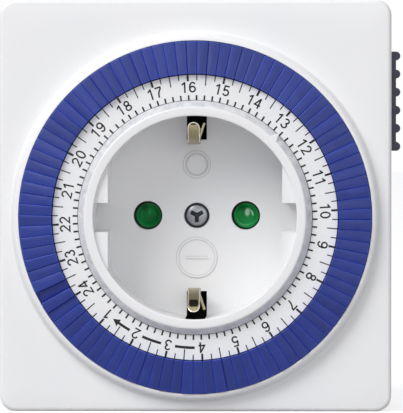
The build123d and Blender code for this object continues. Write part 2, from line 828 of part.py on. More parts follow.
# Contact carrier: the moulded block that holds the contact sleeves inside the plug
with BuildPart() as contact_carrier:
    with BuildSketch(level(load_base + carrier_gap)):
        Circle(plug_cavity_radius - carrier_gap)
        window(
            -cavity_half_width + carrier_gap,
            cavity_half_width - carrier_gap,
            -plug_radius,
            plug_radius,
            mode=Mode.INTERSECT,
        )
        for side in (-1, 1):
            window(
                -channel_half_width - plug_wall - carrier_gap,
                channel_half_width + plug_wall + carrier_gap,
                *sorted((side * (cavity_step - carrier_gap), side * plug_radius)),
                mode=Mode.SUBTRACT,
            )
        with Locations((-pin_x, 0), (pin_x, 0)):
            Circle(sleeve_radius + seat_gap, mode=Mode.SUBTRACT)
        Circle(pillar_radius + turning_gap, mode=Mode.SUBTRACT)
        window(
            riser_left - sliding_gap,
            plug_radius,
            -strip_high - sliding_gap,
            strip_high + sliding_gap,
            mode=Mode.SUBTRACT,
        )
    extrude(amount=carrier_block_top - load_base - carrier_gap)
    with BuildSketch(level(bridge_plate_low)):
        Circle(earth_hub_radius + sliding_gap)
        Rectangle(earth_bridge_width + 2 * sliding_gap, 2 * plug_radius)
    extrude(amount=earth_thickness, mode=Mode.SUBTRACT)
    with BuildSketch(level(carrier_block_top)):
        with Locations((-spring_post_side, spring_post_height)):
            Circle(spring_post_radius)
    extrude(amount=spring_width)
finish(contact_carrier, "contact_carrier")


def contact_sleeve(x, base_level, name):
    """A split brass sleeve with a closed base, round a plug pin's place at x."""
    with BuildPart() as sleeve:
        with BuildSketch(level(base_level)):
            with Locations((x, 0)):
                Circle(sleeve_radius)
        extrude(amount=bridge_plate_low - seat_gap - base_level)
        with BuildSketch(level(base_level + strip_thickness)):
            with Locations((x, 0)):
                Circle(sleeve_bore)
                Rectangle(sleeve_slit, 2 * sleeve_radius)
        extrude(amount=bridge_plate_low - base_level, mode=Mode.SUBTRACT)
    finish(sleeve, name)


contact_sleeve(-pin_x, flange_top, "neutral_contact_sleeve")
contact_sleeve(pin_x, load_base, "load_contact_sleeve")


def contact_strip(side, base_level, base_left, arm_left, name):
    """A bent strip: its foot, its riser beside the sleeve, its run under the lever and a contact rivet."""
    low, high = sorted((side * strip_low, side * strip_high))
    arm_right = arm_left + contact_arm_width
    with BuildPart() as strip:
        with BuildSketch(level(base_level)):
            window(base_left, riser_right, low, high)
        extrude(amount=strip_thickness)
        with BuildSketch(level(base_level)):
            window(riser_left, riser_right, low, high)
        extrude(amount=strip_top - base_level)
        with BuildSketch(level(strip_level)):
            window(riser_left, arm_right, low, high)
            window(arm_left, arm_right, low, contact_z + rivet_radius + running_gap)
        extrude(amount=strip_thickness)
        with BuildSketch(level(strip_top)):
            with Locations((arm_left + contact_arm_width / 2, contact_z)):
                Circle(rivet_radius)
        extrude(amount=rivet_height)
    finish(strip, name)


contact_strip(-1, flange_top, pin_x - strip_foot_inset, line_arm_left, "line_contact_strip")
contact_strip(1, load_base - strip_thickness, pin_x, load_arm_right - contact_arm_width, "load_contact_strip")


def plug_pin(side, name):
    """A plug pin with a rounded tip, a neck in the plug's face and a flange behind it."""
    with BuildPart() as pin:
        with BuildSketch(radial_at(side * pin_x, 0)):
            with BuildLine():
                Polyline(
                    (0, -pin_length),
                    (0, flange_top),
                    (pin_flange_radius, flange_top),
                    (pin_flange_radius, plug_face_thickness),
                    (pin_neck_radius, plug_face_thickness),
                    (pin_neck_radius, 0),
                    (pin_radius, 0),
                    (pin_radius, pin_radius - pin_length),
                )
                CenterArc((0, pin_radius - pin_length), pin_radius, start_angle=270, arc_size=90)
            make_face()
        revolve(axis=axis_at(side * pin_x, 0))
    finish(pin, name)


plug_pin(-1, "plug_pin_neutral")
plug_pin(1, "plug_pin_line")


# Earth bracket: one bent strip with two legs in the plug's channels and two bowed clips in the well
clip_foot = floor_under
clip_peak = floor_level + earth_clip_peak
clip_tip = floor_level + earth_clip_length
leg_middle = earth_leg_inside + earth_thickness / 2
clip_bow_middle = leg_middle - earth_clip_bow
clip_reach = leg_middle + earth_clip_flare
wing_left = earth_width / 2 - earth_clip_side - earth_wing_thickness
with BuildPart() as earth_bracket:
    with BuildSketch(beside(0)):
        for side in (-1, 1):
            window(
                earth_level_start,
                clip_foot + earth_thickness,
                *sorted((side * earth_leg_inside, side * (earth_leg_inside + earth_thickness))),
            )
    extrude(amount=earth_width / 2, both=True)
    with BuildSketch(beside(-earth_clip_side)):
        for side in (-1, 1):
            with BuildLine():
                Line((clip_foot, side * leg_middle), (floor_level, side * (leg_middle - earth_clip_start)))
                ThreePointArc(
                    (floor_level, side * (leg_middle - earth_clip_start)),
                    (clip_peak, side * clip_bow_middle),
                    (clip_tip, side * (clip_reach + earth_thickness)),
                )
            trace(line_width=earth_thickness)
    extrude(amount=earth_width / 2, both=True)
    with BuildSketch(level(clip_peak)):
        for side in (-1, 1):
            window(
                -earth_clip_side - earth_width,
                -earth_clip_side + earth_width,
                *sorted((side * (clip_reach - earth_width / 2), side * (clip_reach + earth_width))),
            )
        with Locations(*((-earth_clip_side, side * (clip_reach - earth_width / 2)) for side in (-1, 1))):
            Circle(earth_width / 2, mode=Mode.SUBTRACT)
    extrude(amount=earth_clip_length, mode=Mode.SUBTRACT)
    with BuildSketch(level(clip_peak)):
        for side in (-1, 1):
            with BuildLine():
                Line(
                    (wing_left, side * clip_bow_middle),
                    (wing_left + earth_wing_side, side * (clip_bow_middle + earth_wing_reach)),
                )
            trace(line_width=earth_wing_thickness)
    extrude(amount=-earth_wing_depth)
    with BuildSketch(level(bridge_plate_low)):
        Rectangle(earth_bridge_width, 2 * leg_middle)
        Circle(earth_hub_radius)
        Circle(pillar_radius + turning_gap, mode=Mode.SUBTRACT)
    extrude(amount=earth_thickness)
finish(earth_bracket, "earth_bracket")


# Dial plate: the printed ring
with BuildPart() as dial_plate:
    with BuildSketch(level(dial_plate_low)):
        Circle(dial_plate_radius)
        Circle(hub_bore, mode=Mode.SUBTRACT)
    extrude(amount=dial_plate_thickness)
finish(dial_plate, "dial_plate")


# Segment carrier: the dial's hub with its gear, and the slotted ring that guides the segments
with BuildPart() as segment_carrier:
    with BuildSketch(radial):
        with BuildLine():
            Polyline(
                (hub_bore, dial_gear),
                (hub_outside, dial_gear),
                (hub_outside, carrier_high - web_thickness),
                (carrier_inside, carrier_high - web_thickness),
                (carrier_inside, carrier_low),
                (carrier_outside, carrier_low),
                (carrier_outside, carrier_high),
                (hub_outside, carrier_high),
                (hub_outside, dial_plate_low),
                (hub_bore, dial_plate_low),
                close=True,
            )
        make_face()
    revolve(axis=Axis.Y)
    with BuildSketch(level(dial_gear)):
        gear_face(0, 0, dial_teeth, coarse_module, dial_phase)
        Circle((hub_bore + hub_outside) / 2, mode=Mode.SUBTRACT)
    extrude(amount=dial_gear_width)
    with BuildSketch(level(carrier_low)):
        with PolarLocations(0, segment_count, zero_hour_angle + segment_pitch / 2):
            Polygon(
                (leg_inside - slot_gap, -segment_leg_width / 2 - slot_gap),
                (leg_outside + slot_gap, -segment_leg_width / 2 - slot_gap),
                (leg_outside + slot_gap, segment_leg_width / 2 + slot_gap),
                (leg_inside - slot_gap, segment_leg_width / 2 + slot_gap),
                align=None,
            )
    extrude(amount=carrier_thickness, mode=Mode.SUBTRACT)
finish(segment_carrier, "segment_carrier")


# Segments: each hour's four press-down segments share a node
half_pitch_slope = tan(radians(segment_pitch / 2))
segment_inner_half = segment_inside * half_pitch_slope - segment_gap / 2
segment_outer_half = segment_outside * half_pitch_slope - segment_gap / 2
for hour in range(1, hours + 1):
    first_segment = zero_hour_angle + (hour - 1) * hour_pitch + segment_pitch / 2
    with BuildPart() as segments:
        with BuildSketch(level(segment_low)):
            with PolarLocations(0, segments_per_hour, first_segment, hour_pitch):
                Polygon(
                    (segment_inside, -segment_inner_half),
                    (segment_outside, -segment_outer_half),
                    (segment_outside, segment_outer_half),
                    (segment_inside, segment_inner_half),
                    align=None,
                )
        extrude(amount=segment_height)
        with BuildSketch(radial):
            Polygon(
                (segment_inside, segment_high),
                (segment_outside, segment_high - segment_fall),
                (segment_outside + overshoot, segment_high - segment_fall),
                (segment_outside + overshoot, segment_high + overshoot),
                (segment_inside, segment_high + overshoot),
                align=None,
            )
        revolve(axis=Axis.Y, mode=Mode.SUBTRACT)
        with BuildSketch(level(carrier_low - seat_gap)):
            with PolarLocations(0, segments_per_hour, first_segment, hour_pitch):
                Polygon(
                    (leg_inside, -segment_leg_width / 2),
                    (leg_outside, -segment_leg_width / 2),
                    (leg_outside, segment_leg_width / 2),
                    (leg_inside, segment_leg_width / 2),
                    align=None,
                )
        extrude(amount=segment_low - carrier_low + seat_gap)
        with BuildSketch(level(carrier_low - seat_gap)):
            with PolarLocations(0, segments_per_hour, first_segment, hour_pitch):
                Polygon(
                    (leg_inside - segment_foot_lip, -segment_leg_width / 2),
                    (leg_outside + segment_foot_lip, -segment_leg_width / 2),
                    (leg_outside + segment_foot_lip, segment_leg_width / 2),
                    (leg_inside - segment_foot_lip, segment_leg_width / 2),
                    align=None,
                )
        extrude(amount=-segment_foot_thickness)
    finish(segments, f"segments_hour_{hour:02d}")


# Motor: a can with a coil and a rotor in it, under the gear plate
with BuildPart() as motor_case:
    with BuildSketch(level(motor_low)):
        with Locations((motor_x, motor_z)):
            Circle(motor_radius)
    extrude(amount=motor_depth)
    with BuildSketch(level(motor_low + motor_wall)):
        with Locations((motor_x, motor_z)):
            Circle(motor_radius - motor_wall)
    extrude(amount=motor_depth, mode=Mode.SUBTRACT)
finish(motor_case, "motor_case")

with BuildPart() as motor_coil:
    with BuildSketch(level(motor_low + motor_wall)):
        with Locations((motor_x, motor_z)):
            Circle(coil_radius)
            Circle(coil_bore, mode=Mode.SUBTRACT)
    extrude(amount=motor_depth - 2 * motor_wall)
finish(motor_coil, "motor_coil")

with BuildPart() as rotor:
    with BuildSketch(level(motor_low + motor_wall + running_gap)):
        with Locations((motor_x, motor_z)):
            Circle(rotor_radius)
    extrude(amount=rotor_length)
    with BuildSketch(level(motor_low + motor_wall + running_gap)):
        with Locations((motor_x, motor_z)):
            Circle(shaft_radius)
    extrude(amount=first_gear - motor_low - motor_wall - running_gap)
    with BuildSketch(level(first_gear)):
        gear_face(motor_x, motor_z, pinion_teeth, fine_module, rotor_phase)
    extrude(amount=gear_width)
finish(rotor, "rotor")

# Gear plate: carries the intermediate wheel's axle and holds the motor down
with BuildPart() as gear_plate:
    with BuildSketch(level(plate_low)):
        with Locations((motor_x, motor_z)):
            Circle(motor_radius)
        with Locations((drive_x, drive_z)):
            Circle(axle_post_radius)
        with Locations(((motor_x + drive_x) / 2, (motor_z + drive_z) / 2)):
            Rectangle(train_span, 2 * axle_post_radius, rotation=rotor_direction)
        with Locations((motor_x, motor_z)):
            Circle(shaft_radius + turning_gap, mode=Mode.SUBTRACT)
        with Locations((drive_x, drive_z), (wheel_x, wheel_z)):
            Circle(axle_radius + push_gap, mode=Mode.SUBTRACT)
    extrude(amount=plate_thickness)
finish(gear_plate, "gear_plate")

with BuildPart() as gear_axles:
    with BuildSketch(level(inner_back + case_wall)):
        with Locations((drive_x, drive_z)):
            Circle(axle_radius)
    extrude(amount=dial_gear_high + running_gap - inner_back - case_wall)
    with BuildSketch(level(plate_low)):
        with Locations((wheel_x, wheel_z)):
            Circle(axle_radius)
    extrude(amount=washer_low + running_gap - plate_low)
finish(gear_axles, "gear_axles")

with BuildPart() as intermediate_wheel:
    with BuildSketch(level(first_gear)):
        gear_face(wheel_x, wheel_z, intermediate_teeth, fine_module, intermediate_phase)
    extrude(amount=gear_width)
    with BuildSketch(level(first_gear)):
        with Locations((wheel_x, wheel_z)):
            Circle(hub_radius)
    extrude(amount=second_gear - first_gear)
    with BuildSketch(level(second_gear)):
        gear_face(wheel_x, wheel_z, pinion_teeth, fine_module, small_phase)
    extrude(amount=gear_width)
    with BuildSketch(level(first_gear)):
        with Locations((wheel_x, wheel_z)):
            Circle(axle_radius + turning_gap)
    extrude(amount=washer_low - first_gear, mode=Mode.SUBTRACT)
finish(intermediate_wheel, "intermediate_wheel")

# Friction clutch: the clutch wheel turns on the drive pinion's hub, gripped by the clutch washer
with BuildPart() as clutch_wheel:
    with BuildSketch(level(second_gear)):
        gear_face(drive_x, drive_z, clutch_teeth, fine_module, clutch_phase)
        with Locations((drive_x, drive_z)):
            Circle(hub_radius + turning_gap, mode=Mode.SUBTRACT)
    extrude(amount=gear_width)
finish(clutch_wheel, "clutch_wheel")

with BuildPart() as clutch_washer:
    with BuildSketch(level(washer_low)):
        with Locations((drive_x, drive_z)):
            Circle(washer_radius)
            Circle(hub_radius + turning_gap, mode=Mode.SUBTRACT)
    extrude(amount=spring_strip)
finish(clutch_washer, "clutch_washer")

with BuildPart() as drive_pinion:
    with BuildSketch(level(plate_low + plate_thickness + seat_gap)):
        with Locations((drive_x, drive_z)):
            Circle(hub_radius)
    extrude(amount=dial_gear - plate_low - plate_thickness - seat_gap)
    with BuildSketch(level(dial_gear)):
        gear_face(drive_x, drive_z, pinion_teeth, coarse_module, drive_phase)
    extrude(amount=dial_gear_width)
    with BuildSketch(level(plate_low)):
        with Locations((drive_x, drive_z)):
            Circle(axle_radius + turning_gap)
    extrude(amount=dial_gear_high - plate_low, mode=Mode.SUBTRACT)
finish(drive_pinion, "drive_pinion")


# Switch lever: its nose rides under the segments' feet and its arm carries the contact bridge
with BuildPart() as switch_lever:
    with BuildSketch(beside(lever_right)):
        Polygon(
            (bridge_top, pivot_z),
            (bridge_top, nose_high),
            (nose_level - lever_nose_half, nose_high),
            (nose_level, lever_nose_height),
            (nose_level - lever_nose_half, nose_low),
            (bridge_top + lever_depth, nose_low),
            (pivot_level + lever_hub_radius, pivot_z),
            align=None,
        )
        with Locations((pivot_level, pivot_z)):
            Circle(lever_hub_radius)
            Circle(lever_axle_radius + turning_gap, mode=Mode.SUBTRACT)
    extrude(amount=lever_width)
    with BuildSketch(beside(tab_right)):
        window(tab_low, tab_low + tab_thickness, nose_low, nose_high)
    extrude(amount=tab_right - lever_right)
finish(switch_lever, "switch_lever")

with BuildPart() as lever_axle:
    with BuildSketch(beside(line_cheek_left + cheek_thickness)):
        with Locations((pivot_level, pivot_z)):
            Circle(lever_axle_radius)
    extrude(amount=line_cheek_left + cheek_thickness - load_cheek_left)
finish(lever_axle, "lever_axle")

with BuildPart() as lever_spring:
    with BuildSketch(beside(lever_x)):
        with BuildLine():
            Polyline(
                (inner_back + spring_strip / 2 + seat_gap, nose_high),
                (inner_back + spring_strip / 2 + seat_gap, contact_z),
                (bridge_top - running_gap, pivot_z + lever_spring_reach),
            )
        trace(line_width=spring_strip)
    extrude(amount=leaf_width / 2, both=True)
finish(lever_spring, "lever_spring")

with BuildPart() as contact_bridge:
    with BuildSketch(level(bridge_low)):
        window(
            load_arm_right - contact_arm_width,
            line_arm_left + contact_arm_width,
            contact_z - rivet_radius - seat_gap,
            contact_z + rivet_radius + seat_gap,
        )
    extrude(amount=bridge_thickness)
    with BuildSketch(level(bridge_low - rivet_height)):
        with Locations(
            (load_arm_right - contact_arm_width / 2, contact_z),
            (line_arm_left + contact_arm_width / 2, contact_z),
        ):
            Circle(rivet_radius)
    extrude(amount=rivet_height)
finish(contact_bridge, "contact_bridge")


# Override slider: the ridged bar on the right side, its neck through the case and its finger over the lever
slider_left = case_right + seat_gap
ridge_pitch = (slider_length - slider_ridge_width) / (slider_ridges - 1)
flange_right = inner_right - sliding_gap
flange_left = flange_right - flange_thickness
with BuildPart() as override_slider:
    with BuildSketch(level(slider_middle - slider_width / 2)):
        window(
            slider_left,
            slider_left + slider_base,
            slider_bottom,
            slider_top,
        )
        for ridge in range(slider_ridges):
            ridge_z = slider_bottom + slider_ridge_width / 2 + ridge * ridge_pitch
            window(
                slider_left,
                slider_left + slider_base + slider_ridge_height - slider_ridge_width / 2,
                ridge_z - slider_ridge_width / 2,
                ridge_z + slider_ridge_width / 2,
            )
            with Locations(
                (slider_left + slider_base + slider_ridge_height - slider_ridge_width / 2, ridge_z)
            ):
                Circle(slider_ridge_width / 2)
    extrude(amount=slider_width)
    with BuildSketch(level(slider_middle - neck_width / 2)):
        window(flange_left, slider_left, neck_z - neck_length / 2, neck_z + neck_length / 2)
    extrude(amount=neck_width)
    with BuildSketch(level(slider_middle - flange_width / 2)):
        window(flange_left, flange_right, neck_z - flange_length / 2, neck_z + flange_length / 2)
    extrude(amount=flange_width)
    with BuildSketch(level(finger_level)):
        window(flange_left - finger_inset, flange_right, finger_low, neck_z)
    extrude(amount=slider_middle - finger_level)
finish(override_slider, "override_slider")

# Detent spring: a leaf that presses on the slider's flange
with BuildPart() as detent_spring:
    with BuildSketch(level(slider_middle + seat_gap)):
        with BuildLine():
            Polyline(
                (detent_x, neck_z - flange_length / 2),
                (detent_x, neck_z + flange_length / 2),
                (inner_right - spring_strip, neck_z + flange_length / 2 + slider_travel),
                (inner_right - spring_strip, neck_z + flange_length / 2 + slider_travel + detent_foot),
            )
        trace(line_width=spring_strip)
    extrude(amount=leaf_width)
finish(detent_spring, "detent_spring")
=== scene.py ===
"""Dresses the plug-in timer switch: plastics, metals, a printed dial, 96 rounded segments and a studio.

Everything stands in metres in the part's own frame: +Z up, the front faces -Y and the dial turns about the Y
axis. Sizes are written in millimetres. Levels count forward from the plug's pin face, so a point at level h
has y = -h, and angles on the front are anticlockwise from +X as seen from the front.
"""
import json
import logging
import math
from dataclasses import dataclass
from enum import Enum

import bpy
import numpy as np
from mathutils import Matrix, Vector


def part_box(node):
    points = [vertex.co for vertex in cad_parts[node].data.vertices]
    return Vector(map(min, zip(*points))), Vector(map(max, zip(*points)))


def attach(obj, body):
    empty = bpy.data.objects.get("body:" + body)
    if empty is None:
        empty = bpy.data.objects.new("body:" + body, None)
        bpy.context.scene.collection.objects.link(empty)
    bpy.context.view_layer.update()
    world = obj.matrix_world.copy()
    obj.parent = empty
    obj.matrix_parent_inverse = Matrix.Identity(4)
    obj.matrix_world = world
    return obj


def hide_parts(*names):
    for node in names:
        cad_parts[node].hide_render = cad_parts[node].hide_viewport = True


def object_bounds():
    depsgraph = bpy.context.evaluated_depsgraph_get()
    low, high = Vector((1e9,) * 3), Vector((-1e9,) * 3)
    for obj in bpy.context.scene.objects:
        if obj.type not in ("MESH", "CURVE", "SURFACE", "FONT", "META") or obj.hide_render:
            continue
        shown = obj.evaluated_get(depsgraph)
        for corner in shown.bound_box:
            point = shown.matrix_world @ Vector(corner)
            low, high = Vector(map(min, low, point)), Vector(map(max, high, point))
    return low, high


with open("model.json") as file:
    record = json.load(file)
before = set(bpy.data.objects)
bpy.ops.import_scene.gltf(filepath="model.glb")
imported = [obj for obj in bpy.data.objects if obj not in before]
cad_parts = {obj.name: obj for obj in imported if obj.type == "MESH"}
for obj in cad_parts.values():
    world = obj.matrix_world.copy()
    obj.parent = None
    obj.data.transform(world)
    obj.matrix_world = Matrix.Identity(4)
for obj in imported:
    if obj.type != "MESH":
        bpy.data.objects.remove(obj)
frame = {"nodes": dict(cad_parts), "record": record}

CAD_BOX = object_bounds()
MM = 0.001
HOURS = 24
QUARTERS = 4
ZERO_HOUR_ANGLE = -147.0
HOUR_PITCH = 360 / HOURS
SEGMENT_PITCH = HOUR_PITCH / QUARTERS

log = logging.getLogger("timer_switch")


# ---------------------------------------------------------------- colour and node helpers


def linear(code: str) -> tuple[float, float, float, float]:
    """Turns an sRGB hex colour into linear light.

    Args:
        code: six hex digits, with or without a leading hash.

    Returns:
        Red, green, blue and an alpha of 1.
    """
    digits = code.lstrip("#")
    shares = (int(digits[place : place + 2], 16) / 255 for place in (0, 2, 4))
    red, green, blue = (s / 12.92 if s <= 0.04045 else ((s + 0.055) / 1.055) ** 2.4 for s in shares)
    return red, green, blue, 1.0


def add_node(
    tree: bpy.types.NodeTree,
    kind: str,
    inputs: dict | None = None,
    stops: dict[float, str] | None = None,
    **settings: object,
) -> bpy.types.Node:
    """Adds a shader node with its settings and links.

    Args:
        tree: the material's or world's node tree.
        kind: the node's type name, without its ShaderNode prefix.
        inputs: for each input, by name or number, a value or the output socket that feeds it.
        stops: for a colour ramp, an sRGB hex colour at each place from 0 to 1.
        settings: attributes of the node itself.

    Returns:
        The new node.
    """
    node = tree.nodes.new("ShaderNode" + kind)
    for name, value in settings.items():
        setattr(node, name, value)
    for name, value in (inputs or {}).items():
        if isinstance(value, bpy.types.NodeSocket):
            tree.links.new(value, node.inputs[name])
        else:
            node.inputs[name].default_value = value
    if stops:
        elements = node.color_ramp.elements
        while len(elements) < len(stops):
            elements.new(0.5)
        for element, (place, code) in zip(elements, sorted(stops.items())):
            element.position = place
            element.color = linear(code)
    return node


def new_material(name: str) -> tuple[bpy.types.Material, bpy.types.NodeTree, bpy.types.Node]:
    """Makes an empty node material.

    Args:
        name: what the material is called.

    Returns:
        The material, its node tree and its output node.
    """
    material = bpy.data.materials.new(name)
    material.use_nodes = True
    material.node_tree.nodes.clear()
    output = add_node(material.node_tree, "OutputMaterial")
    return material, material.node_tree, output


def per_metre(size_mm: float) -> float:
    """The scale of a noise whose largest grains are about this many millimetres across."""
    return 1 / (size_mm * MM)


# ---------------------------------------------------------------- finishes

# Nearly all of a soft noise's values lie in this reach.
NOISE_REACH = {"From Min": 0.3, "From Max": 0.7}


@dataclass(frozen=True)
class MouldedPlastic:
    """An injection-moulded plastic: an even colour with soft flow marks, and a skin that is nearly smooth.

    The tint drifts between two near colours over flow_mm, roughness drifts over the same marks, and the skin
    carries a shallow orange peel of peel_mm.
    """

    name: str
    colour: str
    drift_colour: str
    roughness: float
    flow_mm: float = 18.0
    peel_mm: float = 1.6
    peel_depth_mm: float = 0.004
    scatter: float = 0.0
    scatter_mm: float = 0.6
    specular: float = 0.5
    ior: float = 1.49
    roughness_drift: float = 0.08

    def build(self) -> bpy.types.Material:
        """Builds the material.

        Returns:
            The finished material.
        """
        material, tree, output = new_material(self.name)
        place = add_node(tree, "TexCoord").outputs["Object"]
        flow = add_node(tree, "TexNoise", {"Vector": place, "Scale": per_metre(self.flow_mm), "Detail": 3.0})
        colour = self.tint(tree, flow.outputs["Fac"])
        fine = add_node(tree, "TexNoise", {"Vector": place, "Scale": per_metre(self.peel_mm), "Detail": 2.0})
        low, high = self.roughness * (1 - self.roughness_drift), self.roughness * (1 + self.roughness_drift)
        spread = {"Value": flow.outputs["Fac"], **NOISE_REACH, "To Min": low, "To Max": high}
        roughness = add_node(tree, "MapRange", spread)
        peel = {"Height": fine.outputs["Fac"], "Strength": 0.5, "Distance": self.peel_depth_mm * MM}
        bump = add_node(tree, "Bump", peel)
        shader = add_node(
            tree,
            "BsdfPrincipled",
            {
                "Base Color": colour,
                "Roughness": roughness.outputs["Result"],
                "IOR": self.ior,
                "Specular IOR Level": self.specular,
                "Normal": bump.outputs["Normal"],
                "Subsurface Weight": self.scatter,
                "Subsurface Scale": self.scatter_mm * MM,
            },
        )
        tree.links.new(shader.outputs["BSDF"], output.inputs["Surface"])
        return material

    def tint(self, tree: bpy.types.NodeTree, flow: bpy.types.NodeSocket) -> bpy.types.NodeSocket:
        """The colour that drifts with the flow marks."""
        stops = {0.35: self.colour, 0.65: self.drift_colour}
        return add_node(tree, "ValToRGB", {"Fac": flow}, stops).outputs["Color"]


@dataclass(frozen=True)
class DrawnPlastic(MouldedPlastic):
    """A moulded plastic whose flow froze in lines: each line follows the piece's own "grain" attribute.

    The attribute holds millimetres across and along the moulding. The lines are a noise stretched along it,
    and they lighten and darken the colour by line_share. The "shade" attribute sets how light each moulding
    is as a whole, with a painted highlight along the segments' bevelled edges.
    """

    line_mm: float = 0.45
    line_share: float = 0.16

    def tint(self, tree: bpy.types.NodeTree, flow: bpy.types.NodeSocket) -> bpy.types.NodeSocket:
        """The drifting colour, made lighter or darker by the moulding's shade and its lines."""
        colour = super().tint(tree, flow)
        grain = add_node(tree, "Attribute", attribute_name="grain").outputs["Vector"]
        lines = add_node(tree, "TexNoise", {"Vector": grain, "Scale": 1 / self.line_mm, "Detail": 2.0})
        low, high = 1 - self.line_share, 1 + self.line_share
        spread = {"From Min": 0.25, "From Max": 0.75, "To Min": low, "To Max": high}
        share = add_node(tree, "MapRange", {"Value": lines.outputs["Fac"], **spread}).outputs["Result"]
        shade = add_node(tree, "Attribute", attribute_name="shade").outputs["Fac"]
        value = add_node(tree, "Math", {0: shade, 1: share}, operation="MULTIPLY").outputs["Value"]
        return add_node(tree, "HueSaturation", {"Color": colour, "Value": value}).outputs["Color"]


@dataclass(frozen=True)
class TintedPlastic:
    """A clear-tinted moulded plastic whose colour is painted with its light and shade along a ramp.

    The "thin" attribute runs from -1, a painted shadow colour, over 0, the plastic's own colour, to 1, a
    painted highlight colour.
    """

    name: str
    colour: str
    edge_colour: str
    deep_colour: str
    glint_colour: str
    roughness: float
    specular: float = 0.3
    ior: float = 1.57
    swirl_mm: float = 5.0
    swirl_depth_mm: float = 0.05
    drift: float = 0.04
    scatter: float = 0.2
    scatter_mm: float = 1.0

    def build(self) -> bpy.types.Material:
        """Builds the material.

        Half the "thin" attribute, plus a half that drifts with the swirls, is the place on the colour ramp.

        Returns:
            The finished material.
        """
        material, tree, output = new_material(self.name)
        place = add_node(tree, "TexCoord").outputs["Object"]
        noise = {"Vector": place, "Scale": per_metre(self.swirl_mm), "Detail": 2.0}
        swirl = add_node(tree, "TexNoise", noise)
        thin = add_node(tree, "Attribute", attribute_name="thin").outputs["Fac"]
        low, high = 0.5 - self.drift, 0.5 + self.drift
        spread = {"Value": swirl.outputs["Fac"], **NOISE_REACH, "To Min": low, "To Max": high}
        share = {0: thin, 1: 0.5, 2: add_node(tree, "MapRange", spread).outputs["Result"]}
        depth = add_node(tree, "Math", share, operation="MULTIPLY_ADD").outputs["Value"]
        stops = {0.0: self.deep_colour, 0.5: self.colour, 0.75: self.edge_colour, 1.0: self.glint_colour}
        body = add_node(tree, "ValToRGB", {"Fac": depth}, stops).outputs["Color"]
        relief = {"Height": swirl.outputs["Fac"], "Strength": 0.4, "Distance": self.swirl_depth_mm * MM}
        bump = add_node(tree, "Bump", relief)
        shader = add_node(
            tree,
            "BsdfPrincipled",
            {
                "Base Color": body,
                "Roughness": self.roughness,
                "IOR": self.ior,
                "Normal": bump.outputs["Normal"],
                "Specular IOR Level": self.specular,
                "Subsurface Weight": self.scatter,
                "Subsurface Scale": self.scatter_mm * MM,
            },
        )
        tree.links.new(shader.outputs["BSDF"], output.inputs["Surface"])
        return material


class Grain(Enum):
    """Which way the fine lines of a worked metal run: the share of x, y and z that their noise sees."""

    ALONG_PINS = (1.0, 0.04, 1.0)
    ALONG_HEIGHT = (1.0, 1.0, 0.05)
    NONE = (1.0, 1.0, 1.0)


@dataclass(frozen=True)
class WorkedMetal:
    """A stamped, turned or plated metal: lines stretch its highlights and handling dulls it in clouds."""

    name: str
    colour: str
    dull_colour: str
    roughness: float
    grain: Grain
    line_mm: float = 0.25
    line_depth_mm: float = 0.004
    cloud_mm: float = 4.0
    roughness_shares: tuple[float, float] = (0.7, 1.4)

    def build(self) -> bpy.types.Material:
        """Builds the material.

        Returns:
            The finished material.
        """
        material, tree, output = new_material(self.name)
        place = add_node(tree, "TexCoord").outputs["Object"]
        stretched = add_node(tree, "Mapping", {"Vector": place, "Scale": self.grain.value})
        fine = {"Vector": stretched.outputs["Vector"], "Scale": per_metre(self.line_mm), "Detail": 2.0}
        lines = add_node(tree, "TexNoise", fine)
        broad = {"Vector": place, "Scale": per_metre(self.cloud_mm), "Detail": 3.0}
        clouds = add_node(tree, "TexNoise", broad)
        colour = self.tint(tree, clouds.outputs["Fac"], place)
        low, high = (self.roughness * share for share in self.roughness_shares)
        spread = {"Value": clouds.outputs["Fac"], "To Min": low, "To Max": high}
        roughness = add_node(tree, "MapRange", spread)
        relief = {"Height": lines.outputs["Fac"], "Strength": 0.6, "Distance": self.line_depth_mm * MM}
        bump = add_node(tree, "Bump", relief)
        shader = add_node(
            tree,
            "BsdfPrincipled",
            {
                "Base Color": colour,
                "Metallic": 1.0,
                "Roughness": roughness.outputs["Result"],
                "Normal": bump.outputs["Normal"],
            },
        )
        tree.links.new(shader.outputs["BSDF"], output.inputs["Surface"])
        return material

    def tint(
        self, tree: bpy.types.NodeTree, clouds: bpy.types.NodeSocket, place: bpy.types.NodeSocket
    ) -> bpy.types.NodeSocket:
        """The colour that dulls with the clouds."""
        stops = {0.35: self.colour, 0.8: self.dull_colour}
        return add_node(tree, "ValToRGB", {"Fac": clouds}, stops).outputs["Color"]


@dataclass(frozen=True)
class SoiledMetal(WorkedMetal):
    """A worked metal with painted shade: it darkens to the shade colour as far as a point attribute says, and
    fully between two levels.
    """

    # The painted shade's colour, and the levels between which the metal is fully shaded.
    soil_colour: str = "#131311"
    soiled_levels: tuple[float, float] = (0.0, 0.0)

    def tint(
        self, tree: bpy.types.NodeTree, clouds: bpy.types.NodeSocket, place: bpy.types.NodeSocket
    ) -> bpy.types.NodeSocket:
        """The dulled colour, darkened towards the shade colour by the painted shade."""
        unshaded = super().tint(tree, clouds, place)
        soil = add_node(tree, "Attribute", attribute_name="soil").outputs["Fac"]
        depth = add_node(tree, "SeparateXYZ", {"Vector": place}).outputs["Y"]
        low, high = self.soiled_levels
        band = {0: depth, 1: -(low + high) / 2 * MM, 2: (high - low) / 2 * MM}
        deep = add_node(tree, "Math", band, operation="COMPARE").outputs["Value"]
        share = add_node(tree, "Math", {0: soil, 1: deep}, operation="MAXIMUM").outputs["Value"]
        mix = add_node(tree, "MixRGB", {"Fac": share, "Color1": unshaded, "Color2": linear(self.soil_colour)})
        return mix.outputs["Color"]


